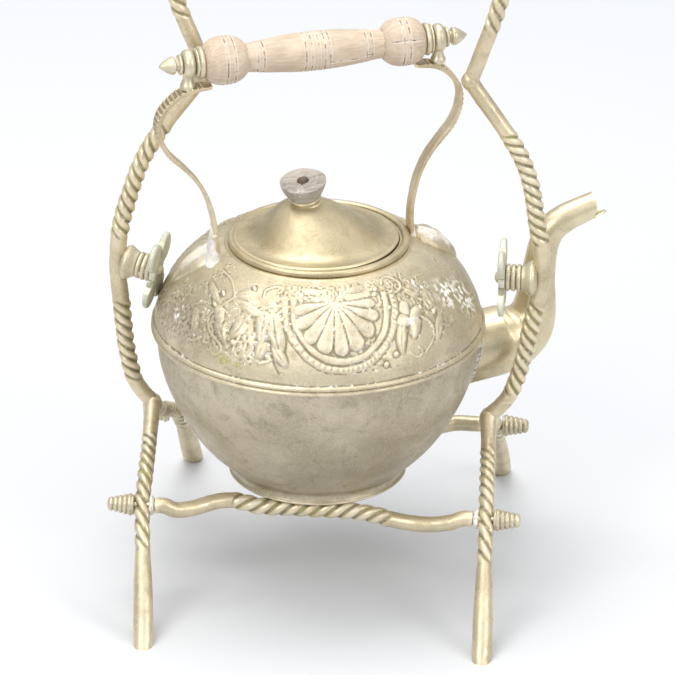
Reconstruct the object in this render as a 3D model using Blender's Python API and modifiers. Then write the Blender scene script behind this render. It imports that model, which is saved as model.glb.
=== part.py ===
"""Spirit kettle on its rope-twist stand: a brass kettle resting on the stretchers of a four-legged frame.

Metres, +Z up. The origin is on the floor, under the middle of the whole object's bounding box.
The frame lies in the X-Z plane of the stand, and its legs splay towards -Y (front) and +Y (back).
The kettle has its own frame: it stands on the stretchers, turned so that its spout (+X of the kettle)
passes behind the right upright.
"""
from math import cos, exp, pi, radians, sin, sqrt

import bmesh
import bpy
from mathutils import Matrix, Vector

MM = 0.001
GAP = 0.3 * MM                      # clearance kept between touching solids

# Where the stand and the kettle are
STAND_X, STAND_Y = -13.19 * MM, -3.18 * MM    # middle of the stand, from the origin
KETTLE_X = -6.0 * MM                # kettle's axis, from the middle of the stand
KETTLE_TURN = radians(17.5)         # spout swung towards the back
HANDLE_TURN = radians(3.0)          # the handle is set a little further round than the spout

# Stand
ROD_R = 4.2 * MM                    # upright and arch, where they are thinnest
BOSS_SWELL = 0.45 * MM              # the upright thickens by this much at the boss
BOSS_Z = 174.0 * MM
UPRIGHT_X = 115.0 * MM              # an upright's reach, level with the boss
LEG_R = 3.9 * MM
FOOT_R = 5.5 * MM
JUNCTION_Z = 91.0 * MM              # where the legs meet the uprights
WAIST_Z = 288.5 * MM                # where the arch is brazed on the uprights
FRONT, REAR = -1, 1
LEG_X = {FRONT: 93.2 * MM, REAR: 87.9 * MM}         # where a stretcher crosses its legs
CROSS_Z = {FRONT: 56.0 * MM, REAR: 58.0 * MM}
CROSS_Y = 57.0 * MM
STRETCHER_R = 4.3 * MM
STRETCHER_INSET = 6.5 * MM          # the thick part ends this far inside the leg's middle
SHOULDER = 0.2 * MM                 # length of the step down to the threaded end
STUD_R = 1.9 * MM
STUD_OVERHANG = 11.5 * MM           # the threaded end's reach beyond the leg's middle
NUT_OFFSET, NUT_LENGTH, NUT_R = 4.4 * MM, 14.5 * MM, 6.3 * MM
BOSS_LENGTH, BOSS_R = 14.0 * MM, 7.3 * MM
PLATE_THICK = 3.4 * MM
BENT_YAW, BENT_TILT = radians(-12.0), radians(9.0)   # the left boss was knocked out of true

# Kettle
SHEET = 1.2 * MM
TURN_STEPS = 28                     # facets round the body, shared so that nested rings never touch
BODY_BOTTOM = 62.6 * MM
SPOUT_ROOT_R = 19.0 * MM
SPOUT_TILT = radians(11.0)
SPOUT_Z = 119.9 * MM
HANDLE_SHIFT = -3.5 * MM            # the handle leans a little away from the spout
GRIP_Z = 303.0 * MM
GRIP_HALF = 61.0 * MM
GRIP_BORE = 2.6 * MM
ROD_PIN_R = 2.2 * MM
STRAP_WIDTH, STRAP_THICK = 9.0 * MM, 2.2 * MM
LUG_SWING = {-1: radians(-9.5), 1: radians(-0.5)}    # each lug sits a little to one side of its strap
LID_SHIFT = -1.5 * MM               # the lid lies loose in its seat
LID_SEAT, LID_TOP = 194.5 * MM, 216.0 * MM
LID_LEAN = -6.0 * MM                # the dome's top is knocked this far sideways
KNOB_LEAN_X, KNOB_LEAN_Y = radians(7.0), radians(-8.0)

PARTS = "spirit_kettle_on_stand"
CUTTERS = "cutters"


# ---------------------------------------------------------------- scene helpers

def clear_scene():
    for item in list(bpy.data.objects):
        bpy.data.objects.remove(item, do_unlink=True)


def collection(name):
    group = bpy.data.collections.new(name)
    bpy.context.scene.collection.children.link(group)
    return group


def principled(name, colour, metallic, roughness):
    material = bpy.data.materials.new(name)
    material.use_nodes = True
    shader = material.node_tree.nodes["Principled BSDF"]
    shader.inputs["Base Color"].default_value = (*colour, 1.0)
    shader.inputs["Metallic"].default_value = metallic
    shader.inputs["Roughness"].default_value = roughness
    material.diffuse_color = (*colour, 1.0)
    return material


def place(item, group, parent=None, location=(0, 0, 0), rotation=(0, 0, 0)):
    group.objects.link(item)
    item.parent = parent
    item.location = location
    item.rotation_euler = rotation
    return item


def empty(name, parent=None, location=(0, 0, 0), rotation=(0, 0, 0)):
    return place(bpy.data.objects.new(name, None), parts, parent, location, rotation)


def finish(item, material, smooth=True):
    """Give the object its own copy of the material, and smooth shading where it is round."""
    own = material.copy()
    own.name = item.name
    item.data.materials.append(own)
    if smooth and item.type == "MESH":
        item.data.shade_smooth()
        item.data.set_sharp_from_angle(angle=radians(40))
    return item


def mesh_object(name, bm, material, group=None, parent=None, location=(0, 0, 0), rotation=(0, 0, 0)):
    mesh = bpy.data.meshes.new(name)
    bm.to_mesh(mesh)
    bm.free()
    item = place(bpy.data.objects.new(name, mesh), group or parts, parent, location, rotation)
    return finish(item, material) if material else item


# ---------------------------------------------------------------- shape helpers

def smooth_path(knots, spacing):
    """Points at an even spacing along the Catmull-Rom curve through the knots."""
    knots = [Vector(k) for k in knots]
    ends = [2 * knots[0] - knots[1], *knots, 2 * knots[-1] - knots[-2]]
    fine = []
    for a, b, c, d in zip(ends, ends[1:], ends[2:], ends[3:]):
        for step in range(12):
            t = step / 12
            fine.append(0.5 * (2 * b + (c - a) * t + (2 * a - 5 * b + 4 * c - d) * t ** 2
                               + (3 * b - a - 3 * c + d) * t ** 3))
    fine.append(knots[-1])
    lengths = [0.0]
    for a, b in zip(fine, fine[1:]):
        lengths.append(lengths[-1] + (b - a).length)
    count = max(2, round(lengths[-1] / spacing))
    path, at = [], 0
    for index in range(count + 1):
        target = lengths[-1] * index / count
        while at < len(fine) - 2 and lengths[at + 1] < target:
            at += 1
        share = (target - lengths[at]) / (lengths[at + 1] - lengths[at])
        path.append(fine[at].lerp(fine[at + 1], min(1.0, share)))
    return path


def rod(name, path, radii, material, parent=None, capped=True, resolution=2):
    """A round rod along a path, with a radius for each point."""
    curve = bpy.data.curves.new(name, "CURVE")
    curve.dimensions = "3D"
    curve.bevel_depth = max(radii)
    curve.bevel_resolution = resolution
    curve.use_fill_caps = capped
    spline = curve.splines.new("POLY")
    spline.points.add(len(path) - 1)
    for point, spot, radius in zip(spline.points, path, radii):
        point.co = (*spot, 1.0)
        point.radius = radius / max(radii)
    item = place(bpy.data.objects.new(name, curve), parts, parent)
    return finish(item, material)


def rod_as_mesh(item):
    """Turn a rod into a mesh object, with its caps welded, so that it can be cut."""
    bpy.context.view_layer.update()
    graph = bpy.context.evaluated_depsgraph_get()
    mesh = bpy.data.meshes.new_from_object(item.evaluated_get(graph))
    bm = bmesh.new()
    bm.from_mesh(mesh)
    bmesh.ops.remove_doubles(bm, verts=bm.verts, dist=1e-6)
    bm.to_mesh(mesh)
    bm.free()
    name, parent, world = item.name, item.parent, item.matrix_world.copy()
    curve = item.data
    bpy.data.objects.remove(item, do_unlink=True)
    bpy.data.curves.remove(curve)
    solid = place(bpy.data.objects.new(name, mesh), parts, parent)
    solid.matrix_world = world
    solid.data.shade_smooth()
    solid.data.set_sharp_from_angle(angle=radians(40))
    return solid


def trim(item, point, normal):
    """Cut off what lies on the normal's side of a plane, in the object's own frame, and close the cut."""
    bm = bmesh.new()
    bm.from_mesh(item.data)
    geometry = bm.verts[:] + bm.edges[:] + bm.faces[:]
    cut = bmesh.ops.bisect_plane(bm, geom=geometry, dist=1e-7, plane_co=point, plane_no=normal,
                                 clear_outer=True)
    edges = [e for e in cut["geom_cut"] if isinstance(e, bmesh.types.BMEdge)]
    bmesh.ops.contextual_create(bm, geom=edges)
    bmesh.ops.recalc_face_normals(bm, faces=bm.faces)
    bm.to_mesh(item.data)
    bm.free()


def turned(name, profile, material, steps=TURN_STEPS, group=None, **where):
    """A turned piece: the profile's (radius, height) points run down its outer side. A profile that
    starts off the axis is closed on itself, so it makes a ring."""
    bm = bmesh.new()
    verts = [bm.verts.new((r, 0, z)) for r, z in profile]
    for a, b in zip(verts, verts[1:]):
        bm.edges.new((a, b))
    if profile[0][0] > 0 and profile[-1][0] > 0:
        bm.edges.new((verts[-1], verts[0]))
    item = mesh_object(name, bm, material, group, **where)
    screw = item.modifiers.new("turn", "SCREW")
    screw.axis = "Z"
    screw.steps = screw.render_steps = steps
    screw.use_merge_vertices = True
    screw.merge_threshold = 1e-6
    screw.use_smooth_shade = True
    return item


def cut(item, cutter):
    boolean = item.modifiers.new("cut " + cutter.name, "BOOLEAN")
    boolean.operation = "DIFFERENCE"
    boolean.solver = "EXACT"
    boolean.object = cutter


def join(item, other):
    """Boolean union with a helper solid, which moves to the cutters."""
    boolean = item.modifiers.new("join " + other.name, "BOOLEAN")
    boolean.operation = "UNION"
    boolean.solver = "EXACT"
    boolean.object = other


def as_cutter(item):
    item.hide_render = True
    item.display_type = "WIRE"
    return item


def cylinder_cutter(name, radius, length, parent=None, location=(0, 0, 0), rotation=(0, 0, 0), sides=16):
    bm = bmesh.new()
    bmesh.ops.create_cone(bm, cap_ends=True, segments=sides, radius1=radius, radius2=radius, depth=length)
    return as_cutter(mesh_object(name, bm, None, cutters, parent, location, rotation))


def wall(outer, thickness):
    """The closed profile of a sheet wall: the outer side's points, then the inner side's, back up."""
    points = [Vector(p) for p in outer]
    inner = []
    for index, point in enumerate(points):
        before = points[max(index - 1, 0)]
        after = points[min(index + 1, len(points) - 1)]
        run = (after - before).normalized()
        inner.append(point + Vector((run.y, -run.x)) * thickness)
    return [tuple(p) for p in points] + [tuple(p) for p in reversed(inner)]


def mm(points):
    return [tuple(value * MM for value in point) for point in points]


def mirrored(points, side):
    return [(side * x, *rest) for x, *rest in points]


def between(table, value):
    """Straight-line reading of a table of (value, result) pairs, carried on past its ends."""
    for (low, first), (high, second) in zip(table, table[1:]):
        if value <= high or (high, second) == table[-1]:
            return first + (second - first) * (value - low) / (high - low)


# ---------------------------------------------------------------- stand

FRAME_LEAN = mm([(91, -4.4), (124, -2.7), (176, 0), (203, 0.5), (244, 3.3), (288, 4.2), (325, 3),
                 (431, 2.5)])
BOSS_SWELL_REACH = 55 * MM          # how far above and below the bosses the uprights are swollen


def lean(z):
    """How far the old frame leans sideways at a height: it is no longer square."""
    return between(FRAME_LEAN, z)


def frame_knots(points, side):
    """Points of the frame from their half widths and heights, with the frame's lean."""
    return [Vector((side * half + lean(z), 0, z)) for half, z in points]


def upright_radius(z):
    return ROD_R + BOSS_SWELL * exp(-((z - BOSS_Z) / BOSS_SWELL_REACH) ** 2)


def build_upright(side, label):
    """One upright, from the legs' junction, out round the kettle and in to the waist."""
    knots = mm([(91.8, 84), (91.8, 90.5), (97.5, 97), (103, 106), (107.8, 124), (111.8, 150), (114.2, 165),
                (115, 176), (114.3, 190), (112, 203), (108, 221), (105.4, 231), (100, 244), (93, 256),
                (86.3, 266), (75, 282), (70.7, 288.5), (66, 295)])
    path = smooth_path(frame_knots(knots, side), 9 * MM)
    upright = rod("upright_" + label, path, [upright_radius(p.z) for p in path], materials["brass"], stand)
    upright = rod_as_mesh(upright)
    trim(upright, (0, 0, JUNCTION_Z + GAP / 2), (0, 0, -1))
    trim(upright, (0, 0, WAIST_Z - GAP / 2), (0, 0, 1))


def build_arch():
    """The top arch, brazed on the uprights' tips at the waist."""
    half = mm([(66.5, 279), (70.7, 288.5), (78.2, 308), (84.4, 325), (89, 343), (91, 362), (88.5, 381),
               (79.5, 399), (63, 414.5), (40, 425.5), (18, 430.5)])
    path = frame_knots(half, -1) + frame_knots(mm([(0, 431.5)]), 1) + frame_knots(half[::-1], 1)
    path = smooth_path(path, 9.5 * MM)
    arch = rod_as_mesh(rod("top_arch", path, [ROD_R] * len(path), materials["brass"], stand))
    trim(arch, (0, 0, WAIST_Z + GAP / 2), (0, 0, -1))


def leg_radius(z):
    """Slim at the top, and swelling to the plain foot below the twist."""
    share = min(1.0, max(0.0, (40 * MM - z) / (34 * MM)))
    return LEG_R + (FOOT_R - LEG_R) * share * (2 - share)


def build_leg(side, end, label):
    """One leg, splayed from the junction to the floor: end is FRONT or REAR."""
    knots = {FRONT: [(1.6, 96), (3.2, 89), (9, 83), (20, 76.5), (38, 67), (57, 56), (74, 42), (91, 25.5),
                     (105, 10), (118, -5)],
             REAR: [(1.6, 96), (3.2, 89), (9, 83), (20, 77), (38, 68.5), (57, 58), (76, 43), (95, 25.5),
                    (110, 10), (124, -4.5)]}[end]
    half = {FRONT: [(0, 91.8), (57, 93.2), (114, 91.1)], REAR: [(0, 91.8), (57, 87.9), (120, 86.6)]}[end]
    shift = {FRONT: [(0, -4.4), (57, -3.05), (114, 1.45)], REAR: [(0, -4.4), (57, -0.85), (120, 0.7)]}[end]
    points = mm([(side * between(half, y) + between(shift, y), end * y, z) for y, z in knots])
    path = smooth_path(points, 9 * MM)
    leg = rod("leg_" + label, path, [leg_radius(p.z) for p in path], materials["brass"], stand)
    leg = rod_as_mesh(leg)
    trim(leg, (0, end * GAP / 2, 0), (0, -end, 0))
    trim(leg, (0, 0, JUNCTION_Z - GAP / 2), (0, 0, 1))
    trim(leg, (0, 0, 0), (0, 0, -1))
    cut(leg, cylinder_cutter("leg_hole_" + label, STUD_R + 2 * GAP, 30 * MM, cross_frames[end],
                             (side * LEG_X[end], 0, 0), (0, pi / 2, 0), sides=12))


def build_stretcher(end, label):
    """A stretcher: its sagging middle carries the kettle's foot, and its thin ends pass through the legs."""
    tip = LEG_X[end] - STRETCHER_INSET
    middle = [(0, 42, 50.8)]
    if end == FRONT:
        left = [(18, 42, 50.8), (31, 41.5, 50.8), (45, 40.5, 53), (56, 44.5, 53.2), (66, 51, 52.4),
                (75, 55.4, 53)]
        right = [(18, 42.5, 50.6), (31, 45, 50.2), (45, 50, 49.6), (60, 54, 50), (73, 56, 52.6)]
        approach = [(81, 56.9, 55.9)]
    else:
        left = right = [(18, 42, 50.8), (31, 42, 50.8), (45, 46, 54), (56, 52, 57.4), (66, 56, 58.6)]
        approach = [(75, 57, 58.2)]
    knots = mirrored((left + approach)[::-1], -1) + middle + right + approach
    cross = Vector((0, end * CROSS_Y, CROSS_Z[end]))
    ends = [cross + Vector((side * tip, 0, 0)) for side in (-1, 1)]
    path = smooth_path([ends[0], *[Vector((x, end * y, z)) * MM for x, y, z in knots], ends[1]], 8.5 * MM)
    stud_ends = (tip + SHOULDER, LEG_X[end] + STUD_OVERHANG)
    studs = [[cross + Vector((side * x, 0, 0)) for x in stud_ends] for side in (-1, 1)]
    radii = [STUD_R] * 2 + [STRETCHER_R] * len(path) + [STUD_R] * 2
    path = [point - cross for point in studs[0][::-1] + path + studs[1]]
    rod("stretcher_" + label, path, radii, materials["brass"], cross_frames[end])


def build_stretcher_end(side, end, label):
    """The collar inside the leg and the ringed nut outside it."""
    where = dict(parent=cross_frames[end], rotation=(0, side * pi / 2, 0))
    start = LEG_X[end] - STRETCHER_INSET + 2 * GAP
    bore, rim, thick = STUD_R + GAP, 5.2 * MM, 1.5 * MM
    collar = [(rim * 0.9, thick), (rim, thick * 0.5), (rim * 0.9, 0), (bore, 0), (bore, thick)]
    turned("stretcher_collar_" + label, collar, materials["solder"], 16, location=(side * start, 0, 0),
           **where)
    depth = STUD_OVERHANG + GAP - NUT_OFFSET
    outer = [(0.0, NUT_LENGTH), (2.6 * MM, NUT_LENGTH), (3.5 * MM, NUT_LENGTH - 1.2 * MM)]
    rings = 4
    for ring in range(rings):
        high = NUT_LENGTH - 1.8 * MM - ring * 3.1 * MM
        radius = NUT_R - (rings - 1 - ring) * 0.75 * MM
        outer += [(radius, high), (radius - 0.9 * MM, high - 2.3 * MM)]
    profile = outer + [(NUT_R - 0.6 * MM, 0.0), (bore, 0.0), (bore, depth), (0.0, depth)]
    turned("stretcher_nut_" + label, profile, materials["brass"], 12,
           location=(side * (LEG_X[end] + NUT_OFFSET), 0, 0), **where)


def lobed_outline(samples):
    """Outline of the lobed plate: the union, seen from its middle, of a disc and four round lobes."""
    disc = 8.2 * MM
    lobes = [(7.6 * MM, 11.4 * MM, 6.6 * MM), (-7.6 * MM, 11.4 * MM, 6.6 * MM),
             (8.8 * MM, -10.6 * MM, 7.6 * MM), (-8.8 * MM, -10.6 * MM, 7.6 * MM)]
    outline = []
    for index in range(samples):
        angle = 2 * pi * (index + 0.5) / samples
        reach = disc
        for x, y, radius in lobes:
            along = x * cos(angle) + y * sin(angle)
            across = x * sin(angle) - y * cos(angle)
            if abs(across) < radius and along > 0:
                reach = max(reach, along + sqrt(radius ** 2 - across ** 2))
        outline.append((reach * cos(angle), reach * sin(angle)))
    return outline


def build_boss(side, label):
    """The ringed boss on the inner side of an upright, with its lobed plate and screw."""
    inner = UPRIGHT_X - upright_radius(BOSS_Z)
    if side > 0:
        frame = empty("boss_frame_" + label, stand, (inner - 0.9 * MM, 0, BOSS_Z), (0, -pi / 2, 0))
    else:
        bent = (0, pi / 2 + BENT_TILT, BENT_YAW)
        frame = empty("boss_frame_" + label, stand, (-inner + 1.1 * MM, 0, BOSS_Z), bent)
    bore = 1.9 * MM
    rings = [(BOSS_R - 0.5 * MM, BOSS_LENGTH)]
    for ring in range(3):
        high = BOSS_LENGTH - 0.6 * MM - ring * 3.0 * MM
        rings += [(BOSS_R, high), (BOSS_R - 0.8 * MM, high - 2.3 * MM)]
    flare = mm([(8.3, 5.0), (8.5, 3.4), (5.4, 0.0)])
    turned("boss_" + label, rings + flare + [(bore, 0), (bore, BOSS_LENGTH)], materials["brass"], 14,
           parent=frame)
    outline = bpy.data.curves.new("lobed_plate_" + label, "CURVE")
    outline.dimensions = "2D"
    outline.fill_mode = "BOTH"
    outline.extrude = PLATE_THICK / 2
    hole = [(2.3 * MM * cos(2 * pi * k / 12), 2.3 * MM * sin(2 * pi * k / 12)) for k in range(12)]
    for points in (lobed_outline(56), hole):
        spline = outline.splines.new("POLY")
        spline.points.add(len(points) - 1)
        spline.use_cyclic_u = True
        for point, (x, y) in zip(spline.points, points):
            point.co = (x, y, 0, 1)
    plate = place(bpy.data.objects.new("lobed_plate_" + label, outline), parts, frame,
                  (0, 0, BOSS_LENGTH + GAP + PLATE_THICK / 2), (0, 0, side * pi / 2))
    finish(plate, materials["patina"])
    head = BOSS_LENGTH + PLATE_THICK + 2 * GAP
    shaft = bore - GAP
    screw = [(0, head + 2.0 * MM), (2.2 * MM, head + 1.6 * MM), (3.6 * MM, head), (shaft, head),
             (shaft, 3 * MM), (0, 3 * MM)]
    turned("plate_screw_" + label, screw, materials["brass"], 12, parent=frame)


def build_stand():
    build_arch()
    for side, hand in ((-1, "left"), (1, "right")):
        build_upright(side, hand)
        build_boss(side, hand)
        for end, face in ((FRONT, "front"), (REAR, "rear")):
            build_leg(side, end, face + "_" + hand)
            build_stretcher_end(side, end, face + "_" + hand)
    for end, face in ((FRONT, "front"), (REAR, "rear")):
        build_stretcher(end, face)


# ---------------------------------------------------------------- kettle body

LOWER_OUTER = mm([(87.6, 143.0), (87.3, 133), (85.8, 122), (82.2, 110), (77, 98), (70.5, 86), (63, 76),
                  (55.5, 68.4), (50.2, 63.8), (47.5, 62.6)])
SHOULDER_OUTER = mm([(50.2, 190.8), (58, 187.8), (66.5, 182.8), (74.5, 175.8), (80.8, 167.5), (85, 159.5),
                     (87.6, 152.5), (88.8, 146.0), (90.1, 144.3), (89.1, 142.8), (90.3, 141.4),
                     (89.2, 140.2)])


def build_lower_body():
    inner = wall(LOWER_OUTER, SHEET)[len(LOWER_OUTER):]
    base = BODY_BOTTOM + SHEET
    inner = [(r, max(z, base)) for r, z in inner]
    profile = [(0, base), *inner, *LOWER_OUTER, (0, BODY_BOTTOM)]
    body = turned("lower_body", profile, materials["brass"], parent=kettle)
    hole = cylinder_cutter("spout_hole", 15.5 * MM, 30 * MM, kettle, (84 * MM, 0, 118.6 * MM),
                           (0, pi / 2 - SPOUT_TILT, 0), sides=20)
    cut(body, hole)


def build_upper_body():
    """The shoulder: its rim laps over the lower body's edge, and it is open at the neck."""
    inner = mm([(88.15, 140.2), (88.15, 143.7), (87.3, 145.8)])
    inner += [(r - 0.9 * MM, z - 0.8 * MM) for r, z in SHOULDER_OUTER[6:0:-1]]
    inner += mm([(49.8, 189.5), (46.9, 190.3)])
    profile = mm([(46.9, 191.6)]) + SHOULDER_OUTER + inner
    turned("upper_body", profile, materials["brass"], parent=kettle)


def build_rings():
    foot = mm([(46.6, 62.3), (47.3, 61.0), (46.9, 58.0), (48.0, 56.6), (48.0, 55.5), (45.2, 55.5),
               (44.6, 60.8), (44.0, 62.3)])
    turned("foot_ring", foot, materials["brass"], parent=kettle)
    neck = mm([(44.4, 193.0), (46.3, 193.0), (46.7, 194.4), (47.9, 195.0), (49.2, 193.6), (48.8, 192.0),
               (46.5, 191.95), (46.3, 187.0), (43.6, 187.0), (43.6, 192.4)])
    turned("neck_ring", neck, materials["brass"], parent=kettle)


def body_envelope(name, clearance):
    """A solid of the body's outer form, used to cut what is fitted against it."""
    outer = [(r + clearance, z) for r, z in SHOULDER_OUTER + LOWER_OUTER[1:]]
    top = SHOULDER_OUTER[0][1] + clearance
    low = outer[-1][1] - clearance
    profile = [(0, top), (outer[0][0], top), *outer[1:-1], (outer[-1][0], low), (0, low)]
    return as_cutter(turned(name, profile, None, group=cutters, parent=kettle))


# ---------------------------------------------------------------- spout

def build_spout(envelope):
    """The spout: a wide drum at the root, a tight elbow, a slim riser and a pouring arm cut on the slant."""
    stations = mm([(77, 117.7, 19), (88, 119.9, 19), (100, 122.2, 18.9), (108.5, 124.6, 17.9),
                   (115.6, 129.6, 15.6), (119.6, 137, 12.8), (121.2, 146.5, 10.9), (122, 157, 9.5),
                   (123.4, 168, 8.6), (125.4, 178, 8.1), (129.4, 186.2, 8.0), (136.2, 191.6, 7.7),
                   (144.5, 195.2, 7.3), (152.5, 198.3, 7.0), (162, 202, 6.7)])
    path = [Vector((r, 0, z)) for r, z, _ in stations]
    radii = [radius for _, _, radius in stations]
    spout = rod("spout", path, radii, materials["brass"], kettle, capped=False, resolution=3)
    spout = rod_as_mesh(spout)
    solidify = spout.modifiers.new("sheet", "SOLIDIFY")
    solidify.thickness = SHEET
    solidify.offset = -1
    cut(spout, envelope)
    bm = bmesh.new()
    bmesh.ops.create_cube(bm, size=1, matrix=Matrix.Diagonal((30 * MM, 40 * MM, 60 * MM, 1)))
    lip_slant = (0, radians(-12), 0)
    lip = mesh_object("lip_cutter", bm, None, cutters, kettle, (172.2 * MM, 0, 200 * MM), lip_slant)
    cut(spout, as_cutter(lip))
    ring = [(SPOUT_ROOT_R + 1.9 * MM, 12 * MM), (SPOUT_ROOT_R + 1.9 * MM, -9 * MM),
            (SPOUT_ROOT_R + 2 * GAP, -9 * MM), (SPOUT_ROOT_R + 2 * GAP, 12 * MM)]
    flange = turned("spout_flange", ring, materials["solder"], 24, parent=kettle,
                    location=(78.2 * MM, 0, SPOUT_Z - 1.9 * MM), rotation=(0, pi / 2 - SPOUT_TILT, 0))
    cut(flange, envelope)


# ---------------------------------------------------------------- handle

def build_lug(side, label, envelope):
    """A leaf-shaped hump on the shoulder, that carries the foot of a strap."""
    bm = bmesh.new()
    bmesh.ops.create_uvsphere(bm, u_segments=20, v_segments=12, radius=1)
    bmesh.ops.scale(bm, verts=bm.verts, vec=(14 * MM, 13.5 * MM, 6.5 * MM))
    turned_round = empty("lug_frame_" + label, handle, rotation=(0, 0, LUG_SWING[side]))
    lug = mesh_object("handle_lug_" + label, bm, materials["brass"], None, turned_round,
                      (side * 70 * MM, 0, 179.6 * MM), (0, side * radians(40), 0))
    cut(lug, envelope)


def strap_path(side):
    """Middle of a strap, from its foot on the shoulder to its curled tip under the grip."""
    foot_z, bulge = (188.9, 1.0) if side < 0 else (191.6, 0.85)
    foot_r = 54.6
    knots = [(foot_r, foot_z), (54.7, 204), (56.2, 214), (59.5, 225), (65, 235), (72.5, 244), (79.8, 252),
             (84.3, 260), (86, 268), (84.6, 275), (80, 281.1), (74, 285.7), (68, 287.9), (62, 288.8),
             (56.5, 289.1)]
    return smooth_path(mm([(foot_r + (r - foot_r) * bulge, 0, z) for r, z in knots]), 7.5 * MM)


def build_strap(side, label):
    path = strap_path(side)
    bm = bmesh.new()
    bmesh.ops.create_grid(bm, x_segments=len(path) - 1, y_segments=2, size=1)
    columns = sorted({round(v.co.x, 5) for v in bm.verts})
    for vert in bm.verts:
        spot = path[columns.index(round(vert.co.x, 5))]
        vert.co = (side * spot.x, vert.co.y * STRAP_WIDTH / 2, spot.z)
    strap = mesh_object("handle_strap_" + label, bm, materials["brass"], None, handle, (HANDLE_SHIFT, 0, 0))
    solidify = strap.modifiers.new("sheet", "SOLIDIFY")
    solidify.thickness = STRAP_THICK
    solidify.offset = 0


def build_handle_end(side, label):
    """The ringed ferrule, the eye on its stem and the acorn finial at one end of the grip."""
    spin = (0, side * pi / 2, 0)
    where = dict(parent=handle, location=(HANDLE_SHIFT, 0, GRIP_Z), rotation=spin)
    bore = ROD_PIN_R + GAP
    start = GRIP_HALF + GAP
    ferrule = [(7.2 * MM, start + 4.6 * MM), (8.0 * MM, start + 3.8 * MM), (7.3 * MM, start + 3.0 * MM),
               (8.7 * MM, start + 2.2 * MM), (8.9 * MM, start + 0.8 * MM), (8.2 * MM, start), (bore, start),
               (bore, start + 4.6 * MM)]
    turned("grip_ferrule_" + label, ferrule, materials["brass"], 18, **where)
    start += 4.6 * MM + GAP
    eye = [(4.6 * MM, start + 6.4 * MM), (6.9 * MM, start + 5.6 * MM), (7.9 * MM, start + 3.2 * MM),
           (6.9 * MM, start + 0.8 * MM), (5.2 * MM, start), (bore, start), (bore, start + 6.4 * MM)]
    eye = turned("handle_eye_" + label, eye, materials["brass"], 18, **where)
    bm = bmesh.new()
    stem_top, stem_low = -5.2 * MM, 289.7 * MM - GRIP_Z
    bmesh.ops.create_cone(bm, cap_ends=True, segments=12, radius1=3.1 * MM, radius2=2.6 * MM,
                          depth=stem_top - stem_low)
    stem_middle = (HANDLE_SHIFT + side * (start + 3.2 * MM), 0, GRIP_Z + (stem_top + stem_low) / 2)
    stem = mesh_object("eye_stem_" + label, bm, None, cutters, handle, stem_middle)
    join(eye, as_cutter(stem))
    start += 6.4 * MM + GAP
    acorn = [(0, 12.6), (1.2, 11.9), (2.9, 9.6), (4.4, 7.2), (5.0, 5.4), (4.6, 4.2), (3.4, 3.4),
             (3.3, 2.0), (5.4, 0.9), (5.2, 0)]
    finial = [(r * MM, start + high * MM) for r, high in acorn]
    finial += [(bore, start), (bore, start + 5.0 * MM), (0, start + 5.0 * MM)]
    turned("handle_finial_" + label, finial, materials["brass"], 16, **where)


def build_grip():
    """The turned wooden grip, loose on the iron rod that holds the handle's ends together."""
    half = mm([(0.0, 10.6), (12, 10.3), (24, 9.2), (34, 8.0), (37.4, 7.9), (38.2, 8.9), (41, 11.3),
               (45, 12.8), (49.4, 13.1), (53.8, 12.8), (57.8, 11.2), (60.2, 8.8), (61.0, 7.2)])
    outer = [(r, u) for u, r in half[::-1]] + [(r, -u) for u, r in half[1:]]
    turned("wooden_grip", outer + [(GRIP_BORE, -GRIP_HALF), (GRIP_BORE, GRIP_HALF)], materials["wood"], 16,
           parent=handle, location=(HANDLE_SHIFT, 0, GRIP_Z), rotation=(0, pi / 2, 0))
    length = 2 * (GRIP_HALF + 4.6 * MM + 6.4 * MM + 4.5 * MM + 3 * GAP)
    bm = bmesh.new()
    bmesh.ops.create_cone(bm, cap_ends=True, segments=14, radius1=ROD_PIN_R, radius2=ROD_PIN_R, depth=length)
    mesh_object("handle_rod", bm, materials["iron"], None, handle, (HANDLE_SHIFT, 0, GRIP_Z), (0, pi / 2, 0))


# ---------------------------------------------------------------- lid

def lean_over(item):
    """Push the dome's top sideways, in proportion to the height above the lid's seat."""
    screw = item.modifiers["turn"]
    bpy.context.view_layer.update()
    graph = bpy.context.evaluated_depsgraph_get()
    item.data = bpy.data.meshes.new_from_object(item.evaluated_get(graph))
    item.modifiers.remove(screw)
    for vert in item.data.vertices:
        vert.co.x += LID_LEAN * max(0.0, vert.co.z - LID_SEAT) / (LID_TOP - LID_SEAT)


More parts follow.
